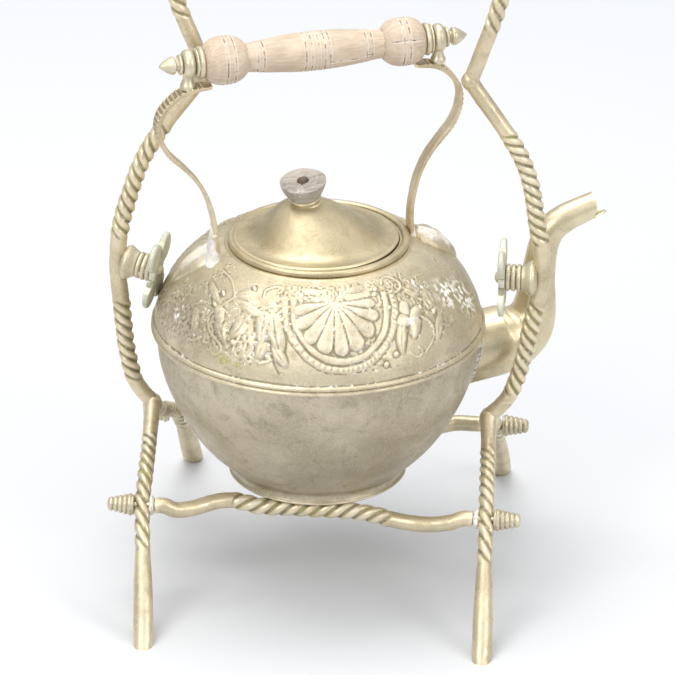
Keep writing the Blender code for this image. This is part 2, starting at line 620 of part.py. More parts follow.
def build_lid():
    """The domed lid, its locating rim, and the leaning knob held by a screw and nut."""
    outer = mm([(7.5, 215.4), (12, 213.9), (18, 210.4), (24, 205.6), (29.5, 200.6), (33.5, 197.2),
                (36.8, 195.4), (40.5, 194.8), (43.6, 194.9), (44.5, 194.4)])
    bore = 4.0 * MM
    inner = [(r - 0.75 * MM, z - 0.95 * MM) for r, z in outer[5::-1]]
    low = mm([(44.4, 193.4), (40.5, 193.5), (36.4, 194.1)])
    under = LID_TOP - 1.3 * MM
    profile = [(bore, LID_TOP - 0.1 * MM), *outer, *low, *inner, (bore, under)]
    lean_over(turned("lid", profile, materials["brass"], parent=lid_frame))
    rim = mm([(41.4, 193.15), (41.6, 188.4), (40.6, 187.2), (40.0, 187.2), (40.2, 193.15)])
    turned("lid_rim", rim, materials["brass"], parent=lid_frame)
    knob_frame = empty("knob_frame", lid_frame, (LID_LEAN, 0, LID_TOP), (KNOB_LEAN_X, KNOB_LEAN_Y, 0))
    hole = 2.1 * MM
    washer = mm([(7.9, 2.2), (8.4, 1.7), (7.9, 1.2), (hole / MM, 1.2), (hole / MM, 2.2)])
    turned("knob_washer", washer, materials["brass"], 16, parent=knob_frame)
    knob = mm([(11.3, 13.0), (12.2, 11.8), (11.7, 9.6), (10.4, 6.4), (9.2, 4.2), (8.5, 2.6), (hole / MM, 2.6),
               (hole / MM, 12.4)])
    turned("lid_knob", knob, materials["knob"], 20, parent=knob_frame)
    shaft = hole - GAP
    screw = mm([(0, 14.2), (1.8, 13.9), (3.2, 12.8)]) + [(shaft, 12.75 * MM), (shaft, -6 * MM), (0, -6 * MM)]
    turned("knob_screw", screw, materials["iron"], 12, parent=knob_frame)
    bm = bmesh.new()
    bmesh.ops.create_cone(bm, cap_ends=True, segments=6, radius1=4.6 * MM, radius2=4.6 * MM, depth=2.2 * MM)
    nut = mesh_object("knob_nut", bm, materials["brass"], None, knob_frame, (0, 0, -3.7 * MM))
    cut(nut, cylinder_cutter("nut_hole", hole, 8 * MM, knob_frame, (0, 0, -3.7 * MM), sides=12))


# ---------------------------------------------------------------- assembly

clear_scene()
parts = collection(PARTS)
cutters = collection(CUTTERS)
materials = {
    "brass": principled("brass", (0.52, 0.43, 0.25), 1.0, 0.42),
    "patina": principled("patina", (0.42, 0.44, 0.30), 0.8, 0.55),
    "solder": principled("solder", (0.55, 0.52, 0.42), 0.9, 0.5),
    "iron": principled("iron", (0.30, 0.28, 0.25), 0.9, 0.5),
    "wood": principled("wood", (0.52, 0.38, 0.25), 0.0, 0.6),
    "knob": principled("knob", (0.24, 0.17, 0.12), 0.0, 0.7),
}
stand = empty("stand_frame", None, (STAND_X, STAND_Y, 0))
cross_frames = {FRONT: empty("cross_frame_front", stand, (-3.05 * MM, FRONT * CROSS_Y, CROSS_Z[FRONT])),
                REAR: empty("cross_frame_rear", stand, (-0.85 * MM, REAR * CROSS_Y, CROSS_Z[REAR]))}
kettle = empty("kettle_frame", stand, (KETTLE_X, 0, 0), (0, 0, KETTLE_TURN))
handle = empty("handle_frame", kettle, (0, 0, 0), (0, 0, HANDLE_TURN))
lid_frame = empty("lid_frame", kettle, (LID_SHIFT, 0, 0))
build_stand()
build_lower_body()
build_upper_body()
build_rings()
body_cutter = body_envelope("body_envelope", GAP)
build_spout(body_cutter)
for hand, label in ((-1, "left"), (1, "right")):
    build_lug(hand, label, body_cutter)
    build_strap(hand, label)
    build_handle_end(hand, label)
build_grip()
build_lid()
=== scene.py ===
"""Looks of the spirit kettle on its rope-twist stand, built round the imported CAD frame.

Shapes are worked out in millimetres, in the frame of the stand, the kettle, the handle or the knob, and are
turned into metres when their mesh is made. Every visible surface carries a "relief" value, in millimetres:
how far it stands above its surroundings, or lies below them. The materials read it to put wear on the ridges
and deposits in the grooves.
"""

import math
from math import cos, exp, pi, radians, sin

import bmesh
import bpy
import numpy as np
from mathutils import Euler, Matrix, Vector


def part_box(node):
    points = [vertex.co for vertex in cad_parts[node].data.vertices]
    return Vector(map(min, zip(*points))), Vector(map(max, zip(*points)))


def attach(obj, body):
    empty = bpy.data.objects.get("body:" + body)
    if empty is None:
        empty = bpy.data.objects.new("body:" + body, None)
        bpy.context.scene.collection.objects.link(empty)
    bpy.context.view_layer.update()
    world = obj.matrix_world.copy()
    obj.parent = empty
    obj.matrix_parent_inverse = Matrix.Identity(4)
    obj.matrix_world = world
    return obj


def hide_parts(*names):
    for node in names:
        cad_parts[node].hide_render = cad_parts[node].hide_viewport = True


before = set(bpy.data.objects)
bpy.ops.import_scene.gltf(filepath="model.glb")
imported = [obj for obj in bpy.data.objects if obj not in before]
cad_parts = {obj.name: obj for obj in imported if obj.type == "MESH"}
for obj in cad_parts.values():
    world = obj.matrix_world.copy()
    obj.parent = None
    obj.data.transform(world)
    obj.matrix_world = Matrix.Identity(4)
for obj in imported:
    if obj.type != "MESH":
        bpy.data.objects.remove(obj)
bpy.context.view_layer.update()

MM = 0.001


def middle(node):
    """Middle of a CAD node's box, in millimetres."""
    low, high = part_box(node)
    return (low + high) / 2 / MM


# Frames of the object's groups
KETTLE_OFFSET = -6.0                # the kettle's axis, from the middle of the stand
KETTLE_TURN = radians(17.5)
HANDLE_TURN = KETTLE_TURN + radians(3.0)
HANDLE_SHIFT = -3.5
GRIP_Z = middle("wooden_grip").z
LID_SHIFT, LID_LEAN = -1.5, -6.0
LID_SEAT, LID_TOP = 194.5, 216.0
KNOB_LEAN = (radians(7.0), radians(-8.0))
BOSS_Z = middle("boss_right").z
BENT_YAW, BENT_TILT = radians(-12.0), radians(9.0)

AXIS = Vector((middle("neck_ring").x, middle("neck_ring").y, 0))
STAND = Matrix.Translation(AXIS - Vector((KETTLE_OFFSET, 0, 0)))
KETTLE = Matrix.Translation(AXIS) @ Matrix.Rotation(KETTLE_TURN, 4, "Z")
HANDLE = Matrix.Translation(AXIS) @ Matrix.Rotation(HANDLE_TURN, 4, "Z")
LID = KETTLE @ Matrix.Translation((LID_SHIFT, 0, 0))
KNOB = LID @ Matrix.Translation((LID_LEAN, 0, LID_TOP)) @ Euler((*KNOB_LEAN, 0)).to_matrix().to_4x4()


# ---------------------------------------------------------------- numbers and noise

def smoothstep(low, high, value):
    share = np.clip((value - low) / (high - low), 0.0, 1.0)
    return share * share * (3 - 2 * share)


def inside(low, high, soft, value):
    """1 between low and high, falling to 0 over a soft edge outside."""
    return smoothstep(low - soft, low, value) * (1 - smoothstep(high, high + soft, value))


def noise(points, size, seed=0):
    """Smooth value noise in -1..1, with features of the given size, at an array of 3-D points."""
    spot = np.asarray(points) / size + 100.0
    cell = np.floor(spot).astype(np.int64)
    part = spot - cell
    part = part * part * (3 - 2 * part)
    total = 0.0
    for dx in (0, 1):
        for dy in (0, 1):
            for dz in (0, 1):
                mix = ((cell[..., 0] + dx) * 73856093 ^ (cell[..., 1] + dy) * 19349663
                       ^ (cell[..., 2] + dz) * 83492791 ^ (seed + 1) * 2654435761)
                mix = (mix ^ (mix >> 13)) * 1274126177 & 0xFFFFFFFF
                mix = (mix ^ (mix >> 16)) & 0xFFFF
                weight = (np.where(dx, part[..., 0], 1 - part[..., 0])
                          * np.where(dy, part[..., 1], 1 - part[..., 1])
                          * np.where(dz, part[..., 2], 1 - part[..., 2]))
                total = total + weight * (mix / 32767.5 - 1)
    return total


def smooth_path(knots, spacing):
    """Points at an even spacing along the Catmull-Rom curve through the knots."""
    knots = np.asarray(knots, float)
    ends = np.vstack([2 * knots[0] - knots[1], knots, 2 * knots[-1] - knots[-2]])
    t = (np.arange(16) / 16)[:, None]
    fine = []
    for a, b, c, d in zip(ends, ends[1:], ends[2:], ends[3:]):
        fine.append(0.5 * (2 * b + (c - a) * t + (2 * a - 5 * b + 4 * c - d) * t ** 2
                           + (3 * b - a - 3 * c + d) * t ** 3))
    fine = np.vstack(fine + [knots[-1:]])
    lengths = np.concatenate([[0], np.cumsum(np.linalg.norm(np.diff(fine, axis=0), axis=1))])
    count = max(3, int(round(lengths[-1] / spacing)) + 1)
    marks = np.linspace(0, lengths[-1], count)
    return np.stack([np.interp(marks, lengths, fine[:, k]) for k in range(fine.shape[1])], axis=1)


def soft_runs(runs, spacing):
    """A turned profile from runs of points: each run is a smooth curve, and runs meet at corners."""
    return np.vstack([smooth_path(run, spacing) if len(run) > 2 else straight(run, spacing) for run in runs])


def straight(run, spacing):
    a, b = np.asarray(run, float)
    count = max(2, int(np.linalg.norm(b - a) / spacing) + 1)
    return a + (b - a) * np.linspace(0, 1, count)[:, None]


# ---------------------------------------------------------------- meshes

def grid_faces(rows, cols, wrap_rows=False):
    index = np.arange(rows * cols).reshape(rows, cols)
    if wrap_rows:
        index = np.vstack([index, index[:1]])
    right = np.roll(index, -1, axis=1)
    quads = np.stack([index[:-1], right[:-1], right[1:], index[1:]], axis=-1)
    return quads.reshape(-1, 4).tolist()


def skin(grid, closed_rows=False):
    """Vertices and faces of a tube-like grid, with its ends capped, or joined to each other."""
    rows, cols, _ = grid.shape
    verts = grid.reshape(-1, 3)
    faces = grid_faces(rows, cols, closed_rows)
    if not closed_rows:
        caps = np.vstack([grid[0].mean(axis=0), grid[-1].mean(axis=0)])
        first, last = rows * cols, rows * cols + 1
        verts = np.vstack([verts, caps])
        for col in range(cols):
            after = (col + 1) % cols
            faces.append([first, after, col])
            faces.append([last, (rows - 1) * cols + col, (rows - 1) * cols + after])
    return verts, faces


def relief_of(mesh, rounds):
    """How far each vertex stands above the surface smoothed round it, in millimetres."""
    count = len(mesh.vertices)
    spots = np.empty(count * 3)
    mesh.vertices.foreach_get("co", spots)
    spots = spots.reshape(-1, 3)
    normals = np.empty(count * 3)
    mesh.vertices.foreach_get("normal", normals)
    edges = np.empty(len(mesh.edges) * 2, np.int64)
    mesh.edges.foreach_get("vertices", edges)
    a, b = edges.reshape(-1, 2).T
    ends = np.concatenate([a, b])
    others = np.concatenate([b, a])
    degree = np.maximum(np.bincount(ends, minlength=count), 1)[:, None]
    smooth = spots.copy()
    for _ in range(rounds):
        around = np.stack([np.bincount(ends, weights=smooth[others, k], minlength=count) for k in range(3)], axis=1)
        smooth = 0.5 * smooth + 0.5 * around / degree
    height = ((spots - smooth) * normals.reshape(-1, 3)).sum(axis=1) / MM
    return height - np.median(height)


def piece(name, verts, faces, matrix, material, body, nodes=(), rounds=10, angle=50, stain=None):
    """A finished piece: its mesh, its relief, its material, and the CAD nodes that it stands for."""
    turned = np.asarray(verts, float) @ np.array(matrix.to_3x3()).T + np.array(matrix.translation)
    faces = list(faces)
    corners = turned[np.array([face[:3] for face in faces])]
    volume = np.einsum("ij,ij->i", corners[:, 0], np.cross(corners[:, 1], corners[:, 2])).sum()
    lasts = [face for face in faces if len(face) == 4]
    quads = turned[np.array([[face[0], face[2], face[3]] for face in lasts])] if lasts else np.zeros((0, 3, 3))
    volume += np.einsum("ij,ij->i", quads[:, 0], np.cross(quads[:, 1], quads[:, 2])).sum()
    if volume < 0:
        faces = [face[::-1] for face in faces]
    mesh = bpy.data.meshes.new(name)
    mesh.from_pydata((turned * MM).tolist(), [], faces)
    return dress(name, mesh, material, body, nodes, rounds, angle, stain)


def dress(name, mesh, material, body, nodes=(), rounds=10, angle=50, stain=None):
    """Finish a mesh as a piece. Its stain is 1 where the surface is chalky, and -1 where it has verdigris."""
    mesh.validate()
    mesh.update()
    layer = mesh.attributes.new("stain", "FLOAT", "POINT")
    if stain is not None:
        values = np.zeros(len(mesh.vertices), np.float32)
        values[:stain.size] = stain.reshape(-1)
        layer.data.foreach_set("value", values)
    relief = mesh.attributes.new("relief", "FLOAT", "POINT")
    relief.data.foreach_set("value", relief_of(mesh, rounds).astype(np.float32))
    mesh.shade_smooth()
    mesh.set_sharp_from_angle(angle=radians(angle))
    mesh.materials.append(material)
    item = bpy.data.objects.new(name, mesh)
    bpy.context.scene.collection.objects.link(item)
    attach(item, body)
    if nodes:
        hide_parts(*nodes)
    return item


def ring_grid(profile, cols, ripple=None):
    """Turn a profile of (radius, height) points round the Z axis."""
    angle = np.linspace(0, 2 * pi, cols, endpoint=False)
    radius = np.maximum(profile[:, 0], 0.02)[:, None]
    grid = np.stack([radius * np.cos(angle), radius * np.sin(angle),
                     np.broadcast_to(profile[:, 1][:, None], (len(profile), cols))], axis=-1)
    if ripple is not None:
        grid = ripple(grid)
    return grid


def turned(name, runs, matrix, material, body, slot, nodes=(), cols=96, spacing=0.35, ripple=None, rounds=10):
    """A turned piece. Profiles that start and end on the axis make a solid, and others a closed ring."""
    profile = soft_runs(runs, spacing)
    keep = np.concatenate([[True], np.linalg.norm(np.diff(profile, axis=0), axis=1) > 0.02])
    profile = profile[keep]
    solid = profile[0][0] < 0.05 and profile[-1][0] < 0.05
    verts, faces = skin(ring_grid(profile, cols, ripple), closed_rows=not solid)
    return piece(name, verts, faces, matrix, material, body, nodes, rounds)


def dents(amount, size, seed):
    """A ripple that leaves a turned piece a little out of round."""
    def ripple(grid):
        flat = grid[..., :2]
        reach = np.linalg.norm(flat, axis=-1, keepdims=True)
        push = amount * noise(grid, size, seed)[..., None] * np.minimum(reach / 4, 1)
        moved = grid.copy()
        moved[..., :2] = flat * (1 + push / np.maximum(reach, 0.1))
        moved[..., 2] += 0.4 * push[..., 0] * (reach[..., 0] > 2)
        return moved
    return ripple


def path_frames(path):
    """Tangents and two normals along a path, carried along it without twist."""
    tangent = np.gradient(path, axis=0)
    tangent /= np.linalg.norm(tangent, axis=1, keepdims=True)
    start = np.array([0.0, 1.0, 0.0])
    if abs(tangent[0] @ start) > 0.9:
        start = np.array([0.0, 0.0, 1.0])
    normal = np.empty_like(path)
    last = start
    for row, along in enumerate(tangent):
        last = last - along * (last @ along)
        last = last / np.linalg.norm(last)
        normal[row] = last
    return tangent, normal, np.cross(tangent, normal)


# ---------------------------------------------------------------- materials

def node(tree, kind, **settings):
    made = tree.nodes.new(kind)
    for key, value in settings.items():
        setattr(made, key, value)
    return made


class Shader:
    """Short calls for building a material's nodes."""

    def __init__(self, name):
        self.material = bpy.data.materials.new(name)
        self.material.use_nodes = True
        self.tree = self.material.node_tree
        self.shader = self.tree.nodes["Principled BSDF"]
        self.coords = node(self.tree, "ShaderNodeTexCoord").outputs["Object"]

    def link(self, source, target):
        self.tree.links.new(source, target)

    def feed(self, target, value):
        if isinstance(value, bpy.types.NodeSocket):
            self.link(value, target)
        elif isinstance(value, tuple) and len(value) == 3:
            target.default_value = (*value, 1.0)
        else:
            target.default_value = value

    def noise(self, size_mm, detail=3.0, rough=0.55, stretch=(1, 1, 1), distortion=0.0):
        mapping = node(self.tree, "ShaderNodeMapping")
        self.link(self.coords, mapping.inputs["Vector"])
        mapping.inputs["Scale"].default_value = stretch
        made = node(self.tree, "ShaderNodeTexNoise")
        self.link(mapping.outputs["Vector"], made.inputs["Vector"])
        made.inputs["Scale"].default_value = 1000 / size_mm
        made.inputs["Detail"].default_value = detail
        made.inputs["Roughness"].default_value = rough
        made.inputs["Distortion"].default_value = distortion
        return made.outputs["Fac"]

    def ramp(self, value, low, high, out_low=0.0, out_high=1.0):
        made = node(self.tree, "ShaderNodeMapRange", interpolation_type="SMOOTHSTEP")
        self.link(value, made.inputs["Value"])
        for key, number in (("From Min", low), ("From Max", high), ("To Min", out_low), ("To Max", out_high)):
            made.inputs[key].default_value = number
        return made.outputs["Result"]

    def math(self, operation, a, b=0.0):
        made = node(self.tree, "ShaderNodeMath", operation=operation)
        self.feed(made.inputs[0], a)
        self.feed(made.inputs[1], b)
        return made.outputs[0]

    def mix(self, share, a, b):
        made = node(self.tree, "ShaderNodeMix", data_type="RGBA")
        self.feed(made.inputs[0], share)
        self.feed(made.inputs[6], a)
        self.feed(made.inputs[7], b)
        return made.outputs[2]

    def attribute(self, name):
        return node(self.tree, "ShaderNodeAttribute", attribute_name=name).outputs["Fac"]

    def bump(self, height, distance_mm, strength=1.0, onto=None):
        made = node(self.tree, "ShaderNodeBump")
        made.inputs["Distance"].default_value = distance_mm * MM
        made.inputs["Strength"].default_value = strength
        self.link(height, made.inputs["Height"])
        if onto is not None:
            self.link(onto, made.inputs["Normal"])
        return made.outputs["Normal"]


def aged_brass(name, light, dark, deposit=0.5, green=0.3, metallic=0.85, rough=(0.34, 0.56), groove=0.12,
               grain_mm=0.9, deposit_colour=(0.74, 0.72, 0.66), speckle=0.0):
    """Old brass: cloudy tarnish, dull grooves with pale deposits and verdigris, and rubbed ridges."""
    s = Shader(name)
    relief, stain = s.attribute("relief"), s.attribute("stain")
    cloud = s.noise(38, 4, 0.6)
    blotch = s.noise(9, 4, 0.65, distortion=0.6)
    grain = s.noise(grain_mm, 3, 0.7)
    tone = s.mix(s.ramp(cloud, 0.36, 0.66), dark, light)
    tone = s.mix(s.ramp(blotch, 0.5, 0.72, 0.0, 0.5), tone, tuple(0.72 * c for c in dark))
    tone = s.mix(s.ramp(grain, 0.42, 0.7, 0.0, 0.35), tone, tuple(min(1.0, 1.25 * c) for c in light))
    pits = s.math("MULTIPLY", s.ramp(s.noise(1.1, 4, 0.8), 0.56, 0.66), s.ramp(s.noise(26, 3, 0.6), 0.42, 0.6))
    tone = s.mix(s.math("MULTIPLY", pits, speckle), tone, (0.16, 0.14, 0.10))
    low = s.ramp(relief, -0.02, -groove)
    tone = s.mix(s.math("MULTIPLY", low, 0.7), tone, (0.19, 0.165, 0.10))
    ridge = s.ramp(relief, 0.03, 2.2 * groove)
    tone = s.mix(s.math("MULTIPLY", ridge, 0.6), tone, tuple(min(1.0, 1.3 * c) for c in light))
    verdigris = s.math("MULTIPLY", s.ramp(s.noise(14, 3, 0.6), 0.56 - 0.12 * green, 0.7), s.math("MULTIPLY", low, green))
    patch = s.math("MULTIPLY", s.ramp(stain, -0.1, -0.7), s.ramp(s.noise(2.4, 4, 0.7), 0.40, 0.56))
    verdigris = s.math("MAXIMUM", verdigris, patch)
    tone = s.mix(verdigris, tone, (0.36, 0.36, 0.13))
    speck = s.math("MULTIPLY", s.ramp(s.noise(2.2, 4, 0.75), 0.5, 0.62), s.ramp(s.noise(22, 2, 0.5), 0.42, 0.62))
    chalk = s.math("MULTIPLY", speck, s.math("MULTIPLY", s.ramp(relief, -0.005, -0.7 * groove), deposit * 1.6))
    dust = s.math("MULTIPLY", s.ramp(s.noise(1.3, 4, 0.8), 0.62, 0.70), s.ramp(blotch, 0.48, 0.62, 0.0, deposit))
    chalk = s.math("ADD", chalk, s.math("MULTIPLY", dust, 0.7))
    painted = s.math("MULTIPLY", s.ramp(stain, 0.02, 1.0), s.ramp(s.noise(1.8, 3, 0.6), 0.30, 0.52, 0.35, 1.0))
    chalk = s.math("MINIMUM", s.math("MAXIMUM", chalk, painted), 1.0)
    tone = s.mix(chalk, tone, deposit_colour)
    s.link(tone, s.shader.inputs["Base Color"])
    dull = s.math("MAXIMUM", chalk, s.math("MULTIPLY", verdigris, 0.9))
    s.link(s.math("MULTIPLY", s.math("SUBTRACT", 1.0, dull), metallic), s.shader.inputs["Metallic"])
    wear = s.math("ADD", s.ramp(blotch, 0.3, 0.7, rough[0], rough[1]), s.math("MULTIPLY", dull, 0.3))
    wear = s.math("ADD", wear, s.math("MULTIPLY", low, 0.12))
    s.link(wear, s.shader.inputs["Roughness"])
    fine = s.bump(grain, 0.05, 0.5)
    s.link(s.bump(blotch, 0.22, 0.5, fine), s.shader.inputs["Normal"])
    return s.material


def old_wood(name, light, dark, along, wear=0.5, streaks=0.7):
    """Weathered turned wood: grain along an axis, pores, and pale dry patches."""
    s = Shader(name)
    mapping = node(s.tree, "ShaderNodeMapping", vector_type="TEXTURE")
    s.link(s.coords, mapping.inputs["Vector"])
    mapping.inputs["Rotation"].default_value = (0, 0, along)
    mapping.inputs["Scale"].default_value = (14, 1, 1)
    grain = node(s.tree, "ShaderNodeTexNoise")
    s.link(mapping.outputs["Vector"], grain.inputs["Vector"])
    grain.inputs["Scale"].default_value = 900
    grain.inputs["Detail"].default_value = 5
    grain.inputs["Roughness"].default_value = 0.6
    streak = grain.outputs["Fac"]
    patch = s.noise(16, 3, 0.6)
    pore = s.noise(0.8, 3, 0.7)
    relief = s.attribute("relief")
    tone = s.mix(s.ramp(streak, 0.36, 0.64, 0.5 - 0.5 * streaks, 0.5 + 0.5 * streaks), dark, light)
    tone = s.mix(s.ramp(patch, 0.45, 0.7, 0.0, wear), tone, tuple(min(1, 1.2 * c) for c in light))
    tone = s.mix(s.ramp(pore, 0.6, 0.72, 0.0, 0.35), tone, tuple(0.6 * c for c in dark))
    groove = s.ramp(relief, -0.03, -0.16)
    pale = s.ramp(s.noise(4, 3, 0.6), 0.4, 0.55)
    tone = s.mix(s.math("MULTIPLY", groove, 0.9), tone, s.mix(pale, tuple(0.35 * c for c in dark), (0.66, 0.62, 0.55)))
    ridge = s.ramp(relief, 0.03, 0.12, 0.0, 0.6)
    tone = s.mix(ridge, tone, (0.74, 0.68, 0.60))
    s.link(tone, s.shader.inputs["Base Color"])
    s.link(s.ramp(patch, 0.3, 0.7, 0.5, 0.72), s.shader.inputs["Roughness"])
    s.link(s.bump(streak, 0.12, 0.6, s.bump(pore, 0.08, 0.5)), s.shader.inputs["Normal"])
    return s.material


def dark_iron(name):
    s = Shader(name)
    rust = s.noise(3.5, 5, 0.7)
    tone = s.mix(s.ramp(rust, 0.42, 0.62), (0.09, 0.075, 0.06), (0.21, 0.13, 0.075))
    s.link(tone, s.shader.inputs["Base Color"])
    s.shader.inputs["Metallic"].default_value = 0.55
    s.link(s.ramp(rust, 0.3, 0.7, 0.45, 0.75), s.shader.inputs["Roughness"])
    s.link(s.bump(rust, 0.15, 0.7), s.shader.inputs["Normal"])
    return s.material


CHALK, PALE_GREEN = (0.78, 0.76, 0.71), (0.70, 0.71, 0.59)
mat_body = aged_brass("embossed_brass", (0.67, 0.59, 0.43), (0.50, 0.435, 0.305), deposit=0.7, green=0.25, groove=0.10,
                      rough=(0.42, 0.62), deposit_colour=CHALK, speckle=0.5)
# The lower body and the foot ring take a darker copy of the shoulder's brass: painted shade for the downward-facing
# lower half, on top of its own speckle and grain.
mat_lower_painted_shade = aged_brass("lower_body_brass_painted_shade", (0.55, 0.49, 0.37), (0.41, 0.36, 0.255), deposit=0.6, green=0.1,
                       rough=(0.36, 0.58), grain_mm=1.4, deposit_colour=CHALK, speckle=0.6)
mat_rod = aged_brass("rod_brass", (0.72, 0.62, 0.44), (0.53, 0.45, 0.30), deposit=0.35, green=0.6, groove=0.22,
                     metallic=0.75, deposit_colour=PALE_GREEN)
mat_turned = aged_brass("turned_brass", (0.72, 0.65, 0.49), (0.52, 0.46, 0.33), deposit=1.0, green=0.3, groove=0.12,
                        metallic=0.7, deposit_colour=CHALK)
mat_lid = aged_brass("lid_brass", (0.64, 0.545, 0.36), (0.46, 0.385, 0.24), deposit=0.3, green=0.25,
                     rough=(0.34, 0.52), speckle=0.2)
mat_spout = aged_brass("spout_brass", (0.72, 0.63, 0.44), (0.56, 0.48, 0.32), deposit=0.2, green=0.2, rough=(0.3, 0.46))
mat_plate = aged_brass("patinated_brass", (0.66, 0.66, 0.55), (0.52, 0.53, 0.42), deposit=0.5, green=0.5, metallic=0.35,
                       rough=(0.5, 0.68), groove=0.1)
mat_solder = aged_brass("tin_solder", (0.74, 0.72, 0.68), (0.58, 0.56, 0.51), deposit=1.0, green=0.1, metallic=0.35,
                        rough=(0.42, 0.66), groove=0.08, deposit_colour=CHALK)
mat_strap = aged_brass("strap_brass", (0.70, 0.59, 0.41), (0.50, 0.40, 0.26), deposit=0.6, green=0.4, groove=0.1,
                       metallic=0.7, deposit_colour=CHALK)
mat_grip = old_wood("grip_wood", (0.60, 0.49, 0.375), (0.44, 0.335, 0.245), HANDLE_TURN, wear=0.55, streaks=0.6)
mat_knob = old_wood("knob_wood", (0.46, 0.42, 0.36), (0.25, 0.22, 0.18), KETTLE_TURN, wear=0.4, streaks=0.9)
mat_iron = dark_iron("rusty_iron")


# ---------------------------------------------------------------- the stand's rods

RIM_R = 4.25                        # mean radius of the twisted stretches
STRANDS = 3


def between(table, value):
    return np.interp(value, [row[0] for row in table], [row[1] for row in table])


def lean(z):
    """How far the old frame leans sideways at a height."""
    return between([(84, -4.6), (91, -4.4), (124, -2.7), (176, 0), (203, 0.5), (244, 3.3), (288, 4.2), (325, 3),
                    (431, 2.5)], z)


def frame_knots(points, side):
    return [(side * half + lean(z), 0, z) for half, z in points]


def rope(name, path, radius, twisted, pitch, nodes, cuts=(), sides=44, seed=0):
    """A rod along a path, plain where `twisted` is 0 and a left-hand rope where it is 1."""
    run = run_of(path)
    _, normal, side = path_frames(path)
    theta = np.linspace(0, 2 * pi, sides, endpoint=False)
    step = np.gradient(run) * 2 * pi / np.broadcast_to(pitch, run.shape)
    phase = np.cumsum(step)
    lobe = np.abs(np.sin(STRANDS / 2 * (theta[None, :] + phase[:, None])))
    mask = np.asarray(twisted)[:, None]
    groove = (1 - lobe) ** 1.4
    reach = np.asarray(radius)[:, None] * (1 + mask * (0.11 - 0.38 * groove))
    grid = (path[:, None, :] + reach[..., None] * (np.cos(theta)[None, :, None] * normal[:, None, :]
                                                   + np.sin(theta)[None, :, None] * side[:, None, :]))
    ground = 0.12 * noise(grid, 6.0, seed) + 0.06 * noise(grid, 1.6, seed + 1)
    outward = grid - path[:, None, :]
    grid = grid + outward / np.linalg.norm(outward, axis=-1, keepdims=True) * ground[..., None]
    stain = mask * (0.16 + 0.45 * noise(grid, 9, seed + 2) - 0.7 * groove) + 0.12 * noise(grid, 14, seed + 3)
    verts, faces = skin(grid)
    mesh = bpy.data.meshes.new(name)
    spots = (np.asarray(verts) + np.array(STAND.translation)) * MM
    mesh.from_pydata(spots.tolist(), [], faces)
    bm = bmesh.new()
    bm.from_mesh(mesh)
    layer = bm.verts.layers.float.new("patina")
    for vert, value in zip(bm.verts, np.append(stain.reshape(-1), [0, 0])):
        vert[layer] = value
    for point, direction in cuts:
        spot = (Vector(point) + STAND.translation) * MM
        geometry = bm.verts[:] + bm.edges[:] + bm.faces[:]
        cut = bmesh.ops.bisect_plane(bm, geom=geometry, dist=1e-8, plane_co=spot, plane_no=direction, clear_outer=True)
        bmesh.ops.contextual_create(bm, geom=[e for e in cut["geom_cut"] if isinstance(e, bmesh.types.BMEdge)])
    bmesh.ops.recalc_face_normals(bm, faces=bm.faces)
    kept = np.array([vert[layer] for vert in bm.verts], np.float32)
    bm.verts.layers.float.remove(layer)
    bm.to_mesh(mesh)
    bm.free()
    return dress(name, mesh, mat_rod, "stand", nodes, rounds=14, stain=kept)


def end_round(radius, run, reach):
    """Round off both ends of a rod over a short reach."""
    from_end = np.minimum(run, run[-1] - run)
    share = np.clip(from_end / reach, 0, 1)
    return radius * np.sqrt(np.clip(1 - (1 - share) ** 2, 0.0004, 1))


def run_of(path):
    return np.concatenate([[0], np.cumsum(np.linalg.norm(np.diff(path, axis=0), axis=1))])


UPRIGHT_KNOTS = [(91.8, 87), (92.2, 91), (97.5, 97), (103, 106), (107.8, 124), (111.8, 150), (114.2, 165), (115, 176),
                 (114.3, 190), (112, 203), (108, 221), (105.4, 231), (100, 244), (93, 256), (86.3, 266), (75, 282),
                 (70.7, 288.5), (69.5, 290.5)]
ARCH_KNOTS = [(69.4, 285.4), (70.7, 288.5), (78.2, 308), (84.4, 325), (89, 343), (91, 362), (88.5, 381), (79.5, 399),
              (63, 414.5), (40, 425.5), (18, 430.5)]
LEG_KNOTS = {"front": [(-1.0, 93.5), (1.5, 90.5), (9, 83), (20, 76.5), (38, 67), (57, 56), (74, 42), (91, 25.5),
                       (105, 10), (118, -5), (123, -11)],
             "rear": [(-1.0, 93.5), (1.5, 90.5), (9, 83), (20, 77), (38, 68.5), (57, 58), (76, 43), (95, 25.5),
                      (110, 10), (124, -4.5), (130, -11)]}
LEG_HALF = {"front": [(0, 91.8), (57, 93.2), (114, 91.1)], "rear": [(0, 91.8), (57, 87.9), (120, 86.6)]}
LEG_SHIFT = {"front": [(0, -4.4), (57, -3.05), (114, 1.45)], "rear": [(0, -4.4), (57, -0.85), (120, 0.7)]}
LEG_X = {"front": 93.2, "rear": 87.9}
CROSS = {"front": (-3.05, -57.0, 56.0), "rear": (-0.85, 57.0, 58.0)}
SIDES = {"left": -1, "right": 1}
ENDS = {"front": -1, "rear": 1}
FINE = 0.8                          # spacing of the rings along a rod


def build_uprights():
    twists = {"left": [(107, 149), (192, 254)], "right": [(108, 157), (198, 256)]}
    pitches = {"left": 19.5, "right": 18.5}
    for label, side in SIDES.items():
        path = smooth_path(frame_knots(UPRIGHT_KNOTS, side), FINE)
        z = path[:, 2]
        mask = sum(inside(low, high, 4, z) for low, high in twists[label])
        radius = 4.2 + 0.45 * np.exp(-((z - BOSS_Z) / 55) ** 2)
        radius = end_round(radius, run_of(path), 2.5)
        rope("twisted_upright_" + label, path, radius, mask, pitches[label], ["upright_" + label], seed=side + 3)


